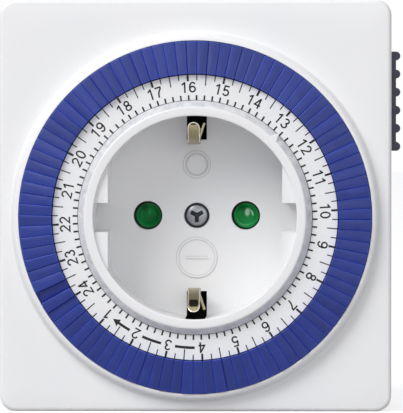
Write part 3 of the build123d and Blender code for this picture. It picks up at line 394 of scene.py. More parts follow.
@dataclass(frozen=True)
class PadPrintedInk:
    """Pad-printed ink: a thin matt film whose cover varies a little, so its blacks are not quite even."""

    name: str
    colour: str
    thin_colour: str
    cover_mm: float = 0.8

    def build(self) -> bpy.types.Material:
        """Builds the material.

        Returns:
            The finished material.
        """
        material, tree, output = new_material(self.name)
        place = add_node(tree, "TexCoord").outputs["Object"]
        noise = {"Vector": place, "Scale": per_metre(self.cover_mm), "Detail": 3.0}
        cover = add_node(tree, "TexNoise", noise)
        stops = {0.4: self.colour, 0.75: self.thin_colour}
        colour = add_node(tree, "ValToRGB", {"Fac": cover.outputs["Fac"]}, stops).outputs["Color"]
        shader = add_node(
            tree, "BsdfPrincipled", {"Base Color": colour, "Roughness": 0.5, "Specular IOR Level": 0.3}
        )
        tree.links.new(shader.outputs["BSDF"], output.inputs["Surface"])
        return material


@dataclass(frozen=True)
class WoundCopper:
    """A coil of lacquered wire: round turns stacked along its axis, with painted shade between the turns and
    a painted highlight on each.
    """

    name: str = "lacquered_copper_wire"
    wire_mm: float = 0.35
    turn_depth_mm: float = 0.1

    def build(self) -> bpy.types.Material:
        """Builds the material.

        Returns:
            The finished material.
        """
        material, tree, output = new_material(self.name)
        place = add_node(tree, "TexCoord").outputs["Object"]
        turns = add_node(
            tree,
            "TexWave",
            {"Vector": place, "Scale": per_metre(self.wire_mm) / (2 * math.pi), "Distortion": 0.4},
            bands_direction="Y",
        )
        # Dark between the turns as painted shade and light on each turn as a painted highlight.
        stops = {0.0: "#5a2f17", 0.6: "#b8692f", 1.0: "#d98e4e"}
        colour = add_node(tree, "ValToRGB", {"Fac": turns.outputs["Fac"]}, stops).outputs["Color"]
        relief = {"Height": turns.outputs["Fac"], "Strength": 0.8, "Distance": self.turn_depth_mm * MM}
        bump = add_node(tree, "Bump", relief)
        shader = add_node(
            tree,
            "BsdfPrincipled",
            {"Base Color": colour, "Metallic": 0.9, "Roughness": 0.3, "Normal": bump.outputs["Normal"]},
        )
        tree.links.new(shader.outputs["BSDF"], output.inputs["Surface"])
        return material


# The case is glossy white ABS: bright and even, with soft wide highlights on its rounded edges.
CASE_ABS = MouldedPlastic("glossy_white_abs", "#f2f2f3", "#f0f1f3", 0.3, peel_depth_mm=0.002)
# The collar is the same ABS from a polished mould: its rounds carry sharper highlights than the case.
COLLAR_ABS = MouldedPlastic("polished_white_abs", "#f2f2f3", "#f1f1f3", 0.14, peel_depth_mm=0.001)
# The collar's flank is the same polished ABS, painted greyer in blotches: a painted reflection of the dial
# and painted shade.
FLANK_ABS = MouldedPlastic("painted_reflection_white_abs", "#e3e4e6", "#cdced2", 0.12, flow_mm=1.3, peel_depth_mm=0.001)
# The foot of a raised mark is the same ABS, painted greyer as shade in its sharp corner.
FOOT_ABS = MouldedPlastic("corner_shade_white_abs", "#d8d9dc", "#ced0d3", 0.5, flow_mm=3.0, peel_depth_mm=0.001)
# The dial plate is white polystyrene: a little flatter than the case, so that the print reads well.
DIAL_STYRENE = MouldedPlastic(
    "white_polystyrene", "#f1f1f2", "#eff0f2", 0.4, flow_mm=9.0, peel_depth_mm=0.002
)
# The segments are satin blue ABS: each one a little lighter or darker at random, with a painted highlight
# along its bevelled edges and faint lines along it.
SEGMENT_ABS = DrawnPlastic(
    "satin_blue_abs", "#213587", "#1e3081", 0.42, flow_mm=2.5, peel_mm=0.5, specular=0.4
)
# The slider is satin navy ABS: dark, with a pale sheen along its rounded ridges.
SLIDER_ABS = MouldedPlastic("satin_navy_abs", "#232342", "#1f1f3b", 0.34, flow_mm=6.0)
# The shutter is tinted green polycarbonate, painted with a shadow in the groove round each eye and with
# highlights on the eyes.
SHUTTER_PC = TintedPlastic(
    "green_polycarbonate", "#0a6630", "#1faa58", "#010603", "#cdf0da", 0.3, specular=0.1
)
# The carriers are dark grey glass-filled nylon: dull, with a dry speckled skin.
CARRIER_NYLON = MouldedPlastic(
    "dark_grey_nylon", "#33343a", "#2b2c31", 0.6, flow_mm=5.0, peel_mm=0.4, peel_depth_mm=0.02
)
# The gears and the lever are natural acetal: creamy and waxy.
GEAR_ACETAL = MouldedPlastic("natural_acetal", "#e6e4da", "#dedbd0", 0.42, flow_mm=7.0, scatter=0.1)
# The rotor is plastic-bonded ferrite: near black, with a faint fine grain.
ROTOR_FERRITE = MouldedPlastic(
    "bonded_ferrite", "#26262a", "#1c1c1f", 0.5, flow_mm=3.0, peel_mm=0.3, peel_depth_mm=0.02
)
# The pins are turned brass under nickel: bright, with a fine even grain.
PIN_NICKEL = WorkedMetal("nickel_plated_brass", "#d8d5cd", "#c2beb4", 0.2, Grain.NONE, line_mm=0.2)
# The contacts are stamped brass: yellow, with clouds of handling.
CONTACT_BRASS = WorkedMetal("stamped_brass", "#d9b768", "#b8954f", 0.3, Grain.ALONG_HEIGHT)
# The earth strip is nickel-plated spring brass: pale gold, with lines that run front to back, and painted
# shade, near black, where it lies deep in the slot.
EARTH_STRIP = SoiledMetal(
    "plated_spring_strip", "#b3a988", "#9c9274", 0.3, Grain.ALONG_PINS, soiled_levels=(24.5, 33.2)
)
# The strip's edge is rolled over, and coloured brighter than its face as a painted highlight.
STRIP_EDGE = WorkedMetal("highlight_strip_edge", "#f4f0e2", "#e2dcc8", 0.22, Grain.NONE)
# The earth slots hold dull near-black sheets: painted shadow, so that they look deep.
SLOT_SHADOW = MouldedPlastic(
    "painted_slot_shadow", "#0a0a0b", "#101012", 0.7, peel_mm=0.4, peel_depth_mm=0.02, specular=0.1
)
# The middle screw is zinc that handling has greyed, with painted shade in its drive and round its head.
DRIVE_ZINC = SoiledMetal("greyed_zinc_steel", "#8c8e92", "#76787c", 0.3, Grain.NONE, soil_colour="#323438")
# The screws are zinc-plated steel: cool grey, a little cloudy.
SCREW_ZINC = WorkedMetal("zinc_plated_steel", "#a9abae", "#8d8f92", 0.36, Grain.NONE)
# The leaves and axles are bright spring steel, with fine lines that run up and down.
SPRING_STEEL = WorkedMetal("drawn_spring_steel", "#b9bbc0", "#9c9ea3", 0.26, Grain.ALONG_HEIGHT)
# The motor's can and plate are pressed galvanised sheet: grey with broad clouds.
SHEET_STEEL = WorkedMetal(
    "galvanised_sheet_steel", "#b2b5b8", "#95989c", 0.4, Grain.ALONG_HEIGHT, line_mm=0.5
)
# The dial's print is black ink.
DIAL_INK = PadPrintedInk("black_dial_ink", "#0e0e10", "#242428")

SLOT_FINISHES: dict[str, object] = {
    "case_white": CASE_ABS,
    "dial_white": DIAL_STYRENE,
    "segment_blue": SEGMENT_ABS,
    "slider_navy": SLIDER_ABS,
    "shutter_green": SHUTTER_PC,
    "carrier_grey": CARRIER_NYLON,
    "gear_white": GEAR_ACETAL,
    "rotor_black": ROTOR_FERRITE,
    "coil_copper": WoundCopper(),
    "pin_nickel": PIN_NICKEL,
    "contact_brass": CONTACT_BRASS,
    "earth_steel": EARTH_STRIP,
    "screw_steel": SCREW_ZINC,
    "spring_steel": SPRING_STEEL,
    "plate_steel": SHEET_STEEL,
}


class Finishes:
    """Builds each finish once and hands it to the pieces that share it."""

    def __init__(self) -> None:
        """Starts with no material built."""
        self._built: dict[str, bpy.types.Material] = {}

    def of(self, finish: object) -> bpy.types.Material:
        """The material of a finish, built the first time it is asked for."""
        if finish.name not in self._built:
            self._built[finish.name] = finish.build()
        return self._built[finish.name]

    def dress_nodes(self) -> int:
        """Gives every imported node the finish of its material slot.

        Returns:
            How many nodes were dressed.
        """
        for row in frame["record"]["subparts"]:
            node = frame["nodes"][row["node"]]
            node.data.materials.clear()
            node.data.materials.append(self.of(SLOT_FINISHES[row["material_slot"]]))
        return len(frame["record"]["subparts"])


# ---------------------------------------------------------------- mesh helpers

# A box's faces, for four corners at its near end and the same four at its far end.
BOX_FACES = ((3, 2, 1, 0), (4, 5, 6, 7), (0, 1, 5, 4), (1, 2, 6, 5), (2, 3, 7, 6), (3, 0, 4, 7))
SHARP_FROM_DEGREES = 40


def front_points(radius: np.ndarray, angle: np.ndarray, level: np.ndarray) -> np.ndarray:
    """Places points by their radius and level in millimetres and their angle in radians.

    A point lies at x = radius times the cosine of its angle, z = radius times the sine, y = minus its level.
    """
    radius, angle, level = np.broadcast_arrays(radius, angle, level)
    return np.stack((radius * np.cos(angle), -level, radius * np.sin(angle)), axis=-1) * MM


def mesh_from(
    name: str, points: np.ndarray, faces: list | np.ndarray, smooth: bool = True
) -> bpy.types.Object:
    """Puts points and faces into a new object at the origin.

    Args:
        name: the object's name.
        points: an n by 3 array in metres.
        faces: rows of corner numbers, all wound the same way round.
        smooth: whether the faces are shaded as one round surface, up to the sharp angle.

    Returns:
        The object, linked to the scene.
    """
    mesh = bpy.data.meshes.new(name)
    rows = faces.tolist() if isinstance(faces, np.ndarray) else faces
    mesh.from_pydata(points.reshape(-1, 3).tolist(), [], rows)
    mesh.validate()
    mesh.update()
    if smooth:
        mesh.polygons.foreach_set("use_smooth", np.ones(len(mesh.polygons), bool))
        mesh.set_sharp_from_angle(angle=math.radians(SHARP_FROM_DEGREES))
    piece = bpy.data.objects.new(name, mesh)
    bpy.context.scene.collection.objects.link(piece)
    return piece


def paint(piece: bpy.types.Object, name: str, values: np.ndarray) -> None:
    """Stores a number, or a row of three, at each of a piece's points for its finish to read.

    Args:
        piece: the piece.
        name: the attribute that the finish reads.
        values: n numbers, or n rows of three.
    """
    kind, field = ("FLOAT_VECTOR", "vector") if values.ndim == 2 else ("FLOAT", "value")
    attribute = piece.data.attributes.new(name, kind, "POINT")
    attribute.data.foreach_set(field, values.astype(np.float32).ravel())


def shifted(rows: list[list[int]], start: int) -> list[list[int]]:
    """The same faces, for points that stand so many places further on."""
    return [[start + corner for corner in row] for row in rows]


def ring_stack_faces(rings: int, around: int) -> list[list[int]]:
    """The faces of a stack of closed rings, with a lid on the first and on the last.

    Args:
        rings: how many rings stand on each other.
        around: points in a ring, anticlockwise as seen from the last ring's side.

    Returns:
        Rows of corner numbers that face outwards.
    """
    ring, step = np.meshgrid(np.arange(rings - 1), np.arange(around), indexing="ij")
    after = (step + 1) % around
    low, high = ring * around, (ring + 1) * around
    sides = np.stack((low + step, low + after, high + after, high + step), axis=-1).reshape(-1, 4)
    bottom = list(range(around))[::-1]
    top = list(range((rings - 1) * around, rings * around))
    return sides.tolist() + [bottom, top]


def rounded_wedge(
    inner: float,
    outer: float,
    inner_half: float,
    outer_half: float,
    corner: float,
    steps: int,
    inset: float = 0.0,
) -> np.ndarray:
    """The outline of a wedge with rounded corners.

    Each corner of the wedge is an arc about a centre that stands in by the corner radius. Taking the inset
    off the arcs' radius draws the outline that far inside the first one.

    Args:
        inner: radius at the narrow end, in millimetres.
        outer: radius at the wide end.
        inner_half: half the width at the narrow end.
        outer_half: half the width at the wide end.
        corner: the corners' radius.
        steps: points on each corner's arc.
        inset: how far inside the outline the points lie.

    Returns:
        A 4·steps by 2 array of places along and across the wedge, anticlockwise.
    """
    centres = np.array(
        (
            (inner + corner, -inner_half + corner),
            (outer - corner, -outer_half + corner),
            (outer - corner, outer_half - corner),
            (inner + corner, inner_half - corner),
        )
    )
    starts = np.radians((180.0, 270.0, 0.0, 90.0))
    angles = starts[:, None] + np.linspace(0, math.pi / 2, steps)[None, :]
    arcs = np.stack((np.cos(angles), np.sin(angles)), axis=-1) * (corner - inset)
    return (centres[:, None, :] + arcs).reshape(-1, 2)


def strip_faces(rows: int, closed: bool) -> list[list[int]]:
    """The faces of a bar carried along a path of rows, four corners to a row.

    Args:
        rows: how many sections the bar has.
        closed: whether the last section joins the first, or each end has a lid.

    Returns:
        Rows of corner numbers that face outwards where the corners run anticlockwise as seen from behind the
        path.
    """
    step, side = np.meshgrid(np.arange(rows if closed else rows - 1), np.arange(4), indexing="ij")
    after, beside = (step + 1) % rows, (side + 1) % 4
    quads = np.stack((step * 4 + side, step * 4 + beside, after * 4 + beside, after * 4 + side), axis=-1)
    lids = [] if closed else [[3, 2, 1, 0], [rows * 4 - 4, rows * 4 - 3, rows * 4 - 2, rows * 4 - 1]]
    return quads.reshape(-1, 4).tolist() + lids


def loop_faces(rows: int, columns: int) -> np.ndarray:
    """The faces of a grid of rows and columns that closes on itself both ways, as a ring does."""
    row, column = np.meshgrid(np.arange(rows), np.arange(columns), indexing="ij")
    below, beside = (row + 1) % rows, (column + 1) % columns
    near, far = row * columns, below * columns
    corners = (near + column, near + beside, far + beside, far + column)
    return np.stack(corners, axis=-1).reshape(-1, 4)


def turned(
    profile: list[tuple[float, float]], around: int, middle: tuple[float, float] = (0.0, 0.0)
) -> np.ndarray:
    """A profile of radii and levels carried round an axis that runs front to back.

    Args:
        profile: radius and level of each row, in millimetres, in order round the section.
        around: columns round the axis.
        middle: the axis's place in x and z.

    Returns:
        A rows by around by 3 array in millimetres: x and z are the middle plus the radius times the cosine
        and the sine of the column's angle, and y is minus the level.
    """
    rows = np.array(profile)
    angle = np.linspace(0, 2 * math.pi, around, endpoint=False)[None, :]
    radius, level = rows[:, :1], rows[:, 1:] + 0 * angle
    return np.stack((middle[0] + radius * np.cos(angle), -level, middle[1] + radius * np.sin(angle)), axis=-1)


def outward(faces: np.ndarray | list, points: np.ndarray) -> list[list[int]]:
    """Winds a closed mesh's faces so that they point outwards.

    The volume is a sixth of the sum, over each face's fan of triangles, of one corner dotted with the cross
    product of the other two. Where it comes out negative, every face is turned round.
    """
    rows = faces.tolist() if isinstance(faces, np.ndarray) else faces
    flat = points.reshape(-1, 3)
    fans = np.array([(row[0], row[i], row[i + 1]) for row in rows for i in range(1, len(row) - 1)])
    first, second, third = flat[fans[:, 0]], flat[fans[:, 1]], flat[fans[:, 2]]
    volume = (first * np.cross(second, third)).sum() / 6
    return rows if volume > 0 else [row[::-1] for row in rows]


def spun(rings: np.ndarray, angle: float) -> np.ndarray:
    """Turns rings of places along +X, across and level to an angle in degrees, as points in millimetres."""
    turn = math.radians(angle)
    along, across, level = rings[..., 0], rings[..., 1], rings[..., 2]
    x = along * math.cos(turn) - across * math.sin(turn)
    z = along * math.sin(turn) + across * math.cos(turn)
    return np.stack((x, -level, z), axis=-1).reshape(-1, 3)


def arc_points(
    middle: tuple[float, float], radius: float, first: float, last: float, count: int
) -> list[tuple[float, float]]:
    """Places on an arc: the middle plus the radius times the cosine and sine of angles from first to last."""
    turns = np.radians(np.linspace(first, last, count))
    return [(middle[0] + radius * math.cos(turn), middle[1] + radius * math.sin(turn)) for turn in turns]


# ---------------------------------------------------------------- the digits


@dataclass(frozen=True)
class Stroke:
    """One stroke of a digit: runs and arcs of ellipses, joined in order, in shares of the digit's height.

    A run is two numbers, the place it goes to. An arc is six: its middle, its half axes and its first and
    last angle in degrees, so that its points are the middle plus the axes times the cosine and sine of the
    angle.
    """

    runs: tuple[tuple[float, ...], ...]

    def path(self) -> np.ndarray:
        """The stroke's middle line, as an n by 2 array."""
        parts = []
        for run in self.runs:
            if len(run) == 2:
                parts.append(np.array((run,)))
            else:
                middle, axes = np.array(run[:2]), np.array(run[2:4])
                turn = np.radians(np.linspace(run[4], run[5], max(5, int(abs(run[5] - run[4]) / 15) + 1)))
                parts.append(middle + axes * np.stack((np.cos(turn), np.sin(turn)), axis=-1))
        return np.concatenate(parts)

    def ribbon(self, half: float) -> tuple[np.ndarray, bool]:
        """The two sides of the stroke.

        Each side lies half a stroke off the middle line, along the mean of the normals of the runs that meet
        there, lengthened by one over the cosine of half their turn so that the stroke keeps its width.

        Args:
            half: half the stroke's width.

        Returns:
            An n by 2 by 2 array of left and right sides, and whether the stroke closes on itself.
        """
        path = self.path()
        closed = bool(np.hypot(*(path[0] - path[-1])) < 1e-6)
        if closed:
            path = path[:-1]
            before, after = path - np.roll(path, 1, axis=0), np.roll(path, -1, axis=0) - path
        else:
            steps = np.diff(path, axis=0)
            before, after = np.vstack((steps[:1], steps)), np.vstack((steps, steps[-1:]))
        before /= np.hypot(*before.T)[:, None]
        after /= np.hypot(*after.T)[:, None]
        mean = before + after
        mean /= np.hypot(*mean.T)[:, None]
        normal = np.stack((-mean[:, 1], mean[:, 0]), axis=-1)
        reach = half / np.clip((mean * after).sum(axis=1), 0.5, 1.0)
        return np.stack((path + normal * reach[:, None], path - normal * reach[:, None]), axis=1), closed


# A plain upright face with even strokes. Every digit fills its height of 1 and stands in the same advance.
DIGIT_STROKE = 0.14
DIGIT_ADVANCE = 0.78
DIGIT_MIDDLE = 0.33
DIGIT_STROKES: dict[str, tuple[Stroke, ...]] = {
    "0": (Stroke(((0.33, 0.5, 0.25, 0.43, 0.0, 360.0),)),),
    "1": (Stroke(((0.4, 0.0), (0.4, 1.0))), Stroke(((0.4, 0.93), (0.13, 0.74)))),
    "2": (Stroke(((0.33, 0.69, 0.24, 0.24, 175.0, -35.0), (0.07, 0.07), (0.6, 0.07))),),
    "3": (
        Stroke(((0.31, 0.735, 0.215, 0.195, 160.0, -80.0),)),
        Stroke(((0.31, 0.3, 0.25, 0.23, 85.0, -165.0),)),
    ),
    "4": (Stroke(((0.46, 0.0), (0.46, 1.0))), Stroke(((0.44, 0.94), (0.07, 0.31), (0.63, 0.31)))),
    "5": (
        Stroke(((0.57, 0.93), (0.17, 0.93), (0.11, 0.48))),
        Stroke(((0.31, 0.33, 0.25, 0.26, 148.0, -155.0),)),
    ),
    "6": (
        Stroke(((0.33, 0.32, 0.25, 0.25, 0.0, 360.0),)),
        Stroke(((0.36, 0.48, 0.28, 0.45, 200.0, 40.0),)),
    ),
    "7": (Stroke(((0.05, 0.93), (0.58, 0.93), (0.9, 0.0, 0.66, 0.9, 122.0, 180.0))),),
    "8": (
        Stroke(((0.33, 0.73, 0.205, 0.2, 0.0, 360.0),)),
        Stroke(((0.33, 0.29, 0.25, 0.22, 0.0, 360.0),)),
    ),
    "9": (
        Stroke(((0.33, 0.68, 0.25, 0.25, 0.0, 360.0),)),
        Stroke(((0.3, 0.52, 0.28, 0.45, 20.0, -140.0),)),
    ),
}


# ---------------------------------------------------------------- the ring of segments


@dataclass
class SegmentRing:
    """The 96 press-down segments, one piece for each hour, each with a bevelled cap, a leg and a foot.

    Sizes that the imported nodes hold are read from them. The rest, such as bevels and play, are in
    millimetres.
    """

    finishes: Finishes
    gap: float = 0.025
    corner: float = 0.16
    corner_steps: int = 4
    bevel: float = 0.12
    fall: float = 1.2
    crown: float = 0.11
    edge_shine: float = 1.8
    play_height: float = 0.3
    play_tilt: float = 0.1
    leg_from_inner: float = 2.2
    leg_depth: float = 1.4
    leg_width: float = 1.0
    foot_lip: float = 0.4
    foot_thickness: float = 1.5
    cap_height: float = 2.8
    segment_length: float = 6.3
    reach_past_node: float = 0.07
    room_above: float = 0.1
    shade_range: tuple[float, float] = (0.86, 1.1)
    grain_stretch: float = 0.06
    grain_offset: float = 50.0
    joint_overlap: float = 0.1
    block_corner: float = 0.2
    block_bevel: float = 0.12
    top_shares: tuple[float, ...] = (0.985, 0.72, 0.4, 0.08)
    seed: int = 24
    low_segments: tuple[tuple[int, int, float], ...] = ((24, 2, 1.1), (1, 0, 0.5))

    def __post_init__(self) -> None:
        """Reads the ring's reach and levels from the first hour's node."""
        low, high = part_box("segments_hour_01")
        corners = np.array([v.co for v in frame["nodes"]["segments_hour_01"].data.vertices]) / MM
        self.outer = float(np.hypot(corners[:, 0], corners[:, 2]).max()) + self.reach_past_node
        self.inner = self.outer - self.segment_length
        self.top = -low.y / MM
        self.foot = -high.y / MM
        self.random = np.random.default_rng(self.seed)

    def halves(self) -> tuple[float, float]:
        """Half the cap's width at its inner and outer end: its share of the circle less the gap."""
        slope = math.tan(math.radians(SEGMENT_PITCH / 2))
        return self.inner * slope - self.gap / 2, self.outer * slope - self.gap / 2

    def cap(self, drop: float) -> np.ndarray:
        """The rings of one cap, in places along and across it and level.

        The side rises straight from the cap's underside, turns over the bevel in three steps of a quarter
        circle, and the top's rings shrink about its middle. The top falls evenly from its inner to its outer
        end, and it is crowned across: its level drops by the crown times the square of the place across, as a
        share of half the width there.

        Args:
            drop: how far this cap's top lies under the highest one, in millimetres.

        Returns:
            A rings by points by 3 array.
        """
        inner_half, outer_half = self.halves()
        outline = [self.inner, self.outer, inner_half, outer_half, self.corner, self.corner_steps]
        base = rounded_wedge(*outline)
        edge = rounded_wedge(*outline, inset=self.bevel)
        middle = np.array(((self.inner + self.outer) / 2, 0.0))
        tilt = self.random.uniform(-1, 1) * self.play_tilt
        rings = [(base, None), (base, -self.bevel)]
        for turn in np.radians((30.0, 60.0, 90.0)):
            rings.append((base + (edge - base) * (1 - math.cos(turn)), -self.bevel * (1 - math.sin(turn))))
        rings += [(middle + (edge - middle) * share, 0.0) for share in self.top_shares]
        stack = []
        for points, rise in rings:
            along = (points[:, 0] - self.inner) / (self.outer - self.inner)
            across = points[:, 1] / (inner_half + (outer_half - inner_half) * along)
            highest = self.top - self.room_above - drop - abs(tilt)
            level = highest - self.fall * along - self.crown * across**2 + tilt * across
            level = np.full(len(points), self.top - self.cap_height) if rise is None else level + rise
            stack.append(np.column_stack((points, level)))
        return np.array(stack)

    def block(self, inner: float, outer: float, half: float, low: float, high: float) -> np.ndarray:
        """The rings of a straight block with small rounded corners, such as a leg or a foot.

        Args:
            inner: radius of the side that faces the axis, in millimetres.
            outer: radius of the far side.
            half: half the block's width.
            low: level of its back end.
            high: level of its front end.

        Returns:
            A rings by points by 3 array: the sides, and an edge rounded once at each end.
        """
        bevel = self.block_bevel
        full = rounded_wedge(inner, outer, half, half, self.block_corner, 3)
        small = rounded_wedge(inner, outer, half, half, self.block_corner, 3, inset=bevel)
        levels = ((small, low), (full, low + bevel), (full, high - bevel), (small, high))
        return np.array([np.column_stack((points, np.full(len(points), level))) for points, level in levels])

    def build_hour(self, hour: int) -> bpy.types.Object:
        """Builds one hour's four segments as one piece.

        Args:
            hour: the hour that the four quarters lead up to, from 1 to 24.

        Returns:
            The piece, riding on its hour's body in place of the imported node.
        """
        points, faces, shades, grains, start = [], [], [], [], 0
        drops = {(row[0], row[1]): row[2] for row in self.low_segments}
        leg_inner = self.inner + self.leg_from_inner
        leg_outer = leg_inner + self.leg_depth
        foot_top = self.foot + self.foot_thickness
        cap_low, overlap = self.top - self.cap_height, self.joint_overlap
        for quarter in range(QUARTERS):
            angle = ZERO_HOUR_ANGLE + (hour - 1) * HOUR_PITCH + (quarter + 0.5) * SEGMENT_PITCH
            drop = drops.get((hour, quarter), self.random.uniform(0, self.play_height))
            shade = self.random.uniform(*self.shade_range)
            offset = self.grain_offset * (hour * QUARTERS + quarter)
            half = self.leg_width / 2
            solids = (
                self.cap(drop),
                self.block(leg_inner, leg_outer, half, foot_top - overlap, cap_low + overlap),
                self.block(leg_inner - self.foot_lip, leg_outer + self.foot_lip, half, self.foot, foot_top),
            )
            for rings in solids:
                placed = spun(rings, angle) * MM
                rows = ring_stack_faces(*rings.shape[:2])
                points.append(placed)
                faces += shifted(rows, start)
                # Each cap's random tone, made brighter on its bevel rings as a painted highlight.
                tone_and_highlight = np.ones(rings.shape[:2]) * shade
                tone_and_highlight[1:5] *= self.edge_shine if len(rings) > 4 else 1.0
                shades.append(tone_and_highlight.ravel())
                stretch = (1.0, self.grain_stretch, self.grain_stretch)
                grain = rings.reshape(-1, 3)[:, [1, 0, 2]] * stretch + (offset, 0.0, 0.0)
                grains.append(grain)
                start += len(placed)
        piece = mesh_from(f"segment_caps_hour_{hour:02d}", np.concatenate(points), faces)
        paint(piece, "shade", np.concatenate(shades))
        paint(piece, "grain", np.concatenate(grains))
        piece.data.materials.append(self.finishes.of(SEGMENT_ABS))
        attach(piece, f"hour_{hour:02d}")
        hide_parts(f"segments_hour_{hour:02d}")
        return piece

    def build(self) -> list[bpy.types.Object]:
        """Builds the 24 hours of segments, in order."""
        return [self.build_hour(hour) for hour in range(1, HOURS + 1)]


# ---------------------------------------------------------------- the case's front


@dataclass
class FrontShell:
    """The front cover: a rounded shell with a low plinth round the ring, its posts and the slider's slot.

    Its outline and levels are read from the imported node. Sizes are in millimetres.
    """

    finishes: Finishes
    opening: float = 33.9
    plinth_height: float = 2.5
    land: float = 0.02
    shoulder: float = 1.15
    skirt: float = 0.6
    flank_angle: float = 13.0
    lip: float = 0.12
    corner: float = 3.0
    edge: float = 0.8
    seam: float = 0.2
    wall: float = 2.0
    seat: tuple[float, float] = (1.1, 1.5)
    slot_levels: tuple[float, float] = (30.75, 34.25)
    slot_heights: tuple[float, float] = (14.95, 25.45)
    post_radius: float = 2.6
    post_bore: float = 1.1
    post_inset: float = 2.4
    post_bite: float = 0.1
    spacing: float = 1.3

    def __post_init__(self) -> None:
        """Reads the shell's outline and levels from its node."""
        low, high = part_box("front_cover")
        self.reach = (low.x / MM, high.x / MM, low.z / MM, high.z / MM)
        self.back, self.top = -high.y / MM, -low.y / MM
        self.face = self.top - self.plinth_height

    def outline(self) -> tuple[np.ndarray, np.ndarray]:
        """The case's rounded outline.

        Each straight side is cut at even steps, the right one also at the slot's ends, and each corner is a
        quarter circle of eight steps.

        Returns:
            An n by 2 array of places in x and z, anticlockwise, and the outward direction at each.
        """
        left, right, bottom, top = self.reach
        c = self.corner
        places, ways = [], []
        corners = (
            (right - c, bottom + c, -90),
            (right - c, top - c, 0),
            (left + c, top - c, 90),
            (left + c, bottom + c, 180),
        )
        for number, (x, z, start) in enumerate(corners):
            turn = np.radians(np.linspace(start, start + 90, 9))
            way = np.stack((np.cos(turn), np.sin(turn)), axis=-1)
            places.append(np.array((x, z)) + c * way)
            ways.append(way)
            following = corners[(number + 1) % 4]
            first, last = places[-1][-1], np.array(following[:2]) + c * way[-1]
            length = float(np.hypot(*(last - first)))
            steps = np.linspace(0, length, int(length / self.spacing) + 1)[1:-1]
            if number == 0:
                ends = np.array(self.slot_heights) - first[1]
                steps = np.sort(np.append(steps[np.abs(steps[:, None] - ends).min(axis=1) > 0.3], ends))
            places.append(first + (last - first) / length * steps[:, None])
            ways.append(np.repeat(way[-1:], len(steps), axis=0))
        return np.concatenate(places), np.concatenate(ways)

    def plinth(self) -> list[tuple[float, float]]:
        """Radius and level of each row from the opening's back edge, over the plinth and down its flank.

        The land ends in a rounded shoulder, the flank leans by its angle, and a hollow skirt runs out on the
        face.
        """
        shoulder_radius = self.opening + self.land
        lean = math.radians(self.flank_angle)
        foot = self.face + self.skirt * (1 - math.sin(lean))
        start_radius = shoulder_radius + self.shoulder * math.cos(lean)
        start_level = self.top - self.shoulder * (1 - math.sin(lean))
        reach = start_radius + (start_level - foot) * math.tan(lean)
        skirt_middle = (reach + self.skirt * math.cos(lean), self.face + self.skirt)
        rows = [(self.opening, self.face - self.wall), (self.opening, self.face)]
        rows += arc_points((self.opening + self.lip, self.top - self.lip), self.lip, 180, 90, 4)
        shoulder_middle = (shoulder_radius, self.top - self.shoulder)
        rows += arc_points(shoulder_middle, self.shoulder, 90, self.flank_angle, 6)
        rows += arc_points(skirt_middle, self.skirt, 180 + self.flank_angle, 270, 6)
        return rows

    def build(self) -> list[bpy.types.Object]:
        """Builds the shell.

        Rows run from the opening over the plinth, straight out along rays to the rounded edge, down the side
        to the bevelled seam, round the seat that takes the back shell's lip, up inside and back under the
        face to the opening. Columns follow the outline. The slot's cells are left out of the two side walls,
        and their edges are joined.

        Returns:
            The shell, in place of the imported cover.
        """
        places, ways = self.outline()
        columns = len(places)
        rays = places / np.hypot(*places.T)[:, None]
        rows = [(rays * radius, level) for radius, level in self.plinth()]
        skirt_end, inset = rows[-1][0], places - self.edge * ways
        rows += [(skirt_end + (inset - skirt_end) * share, self.face) for share in (0.2, 0.6, 1.0)]
        for turn in np.radians((22.5, 45.0, 67.5, 90.0)):
            level = self.face - self.edge * (1 - math.cos(turn))
            rows.append((inset + self.edge * math.sin(turn) * ways, level))
        outer_row = len(rows)
        rows += [(places, self.slot_levels[1]), (places, self.slot_levels[0])]
        rows += [(places, self.back + self.seam), (places - self.seam * ways, self.back)]
        seat_in, seat_up = self.seat
        rows += [(places - seat_in * ways, self.back), (places - seat_in * ways, self.back + seat_up)]
        inner = places - self.wall * ways
        rows += [(inner, self.back + seat_up), (inner, self.slot_levels[0])]
        inner_row = len(rows)
        rows += [(inner, self.slot_levels[1]), (inner, self.face - self.wall)]
        sections = [np.column_stack((flat, np.full(columns, -level))) for flat, level in rows]
        points = np.array(sections)[:, :, [0, 2, 1]]
        faces = loop_faces(len(rows), columns).reshape(len(rows), columns, 4)
        on_slot = (ways[:, 0] > 0.999) & (places[:, 1] > self.slot_heights[0] - 1e-6)
        on_slot &= places[:, 1] < self.slot_heights[1] - 1e-6
        keep = np.ones(faces.shape[:2], bool)
        keep[outer_row, on_slot] = False
        keep[inner_row - 1, on_slot] = False
        span = np.flatnonzero(on_slot)
        first, last = span[0], span[-1] + 1
        outer_high, outer_low = outer_row * columns, (outer_row + 1) * columns
        inner_low, inner_high = (inner_row - 1) * columns, inner_row * columns
        reveals = [[outer_high + c, outer_high + c + 1, inner_high + c + 1, inner_high + c] for c in span]
        reveals += [[outer_low + c + 1, outer_low + c, inner_low + c, inner_low + c + 1] for c in span]
        reveals.append([outer_low + first, outer_high + first, inner_high + first, inner_low + first])
        reveals.append([outer_high + last, outer_low + last, inner_low + last, inner_high + last])
        shell = faces[keep].tolist() + reveals
        bodies = [(points, outward(shell, points))]
        post_in, post_top = self.wall + self.post_inset, self.face - self.wall + self.post_bite
        tube = [(self.post_bore, self.back), (self.post_radius, self.back)]
        tube += [(self.post_radius, post_top), (self.post_bore, post_top)]
        for x in (self.reach[0] + post_in, self.reach[1] - post_in):
            for z in (self.reach[2] + post_in, self.reach[3] - post_in):
                post = turned(tube, 32, (x, z))
                bodies.append((post, outward(loop_faces(4, 32), post)))
        piece = joined("front_shell", bodies)
        piece.data.materials.append(self.finishes.of(CASE_ABS))
        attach(piece, "case")
        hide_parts("front_cover")
        return [piece]


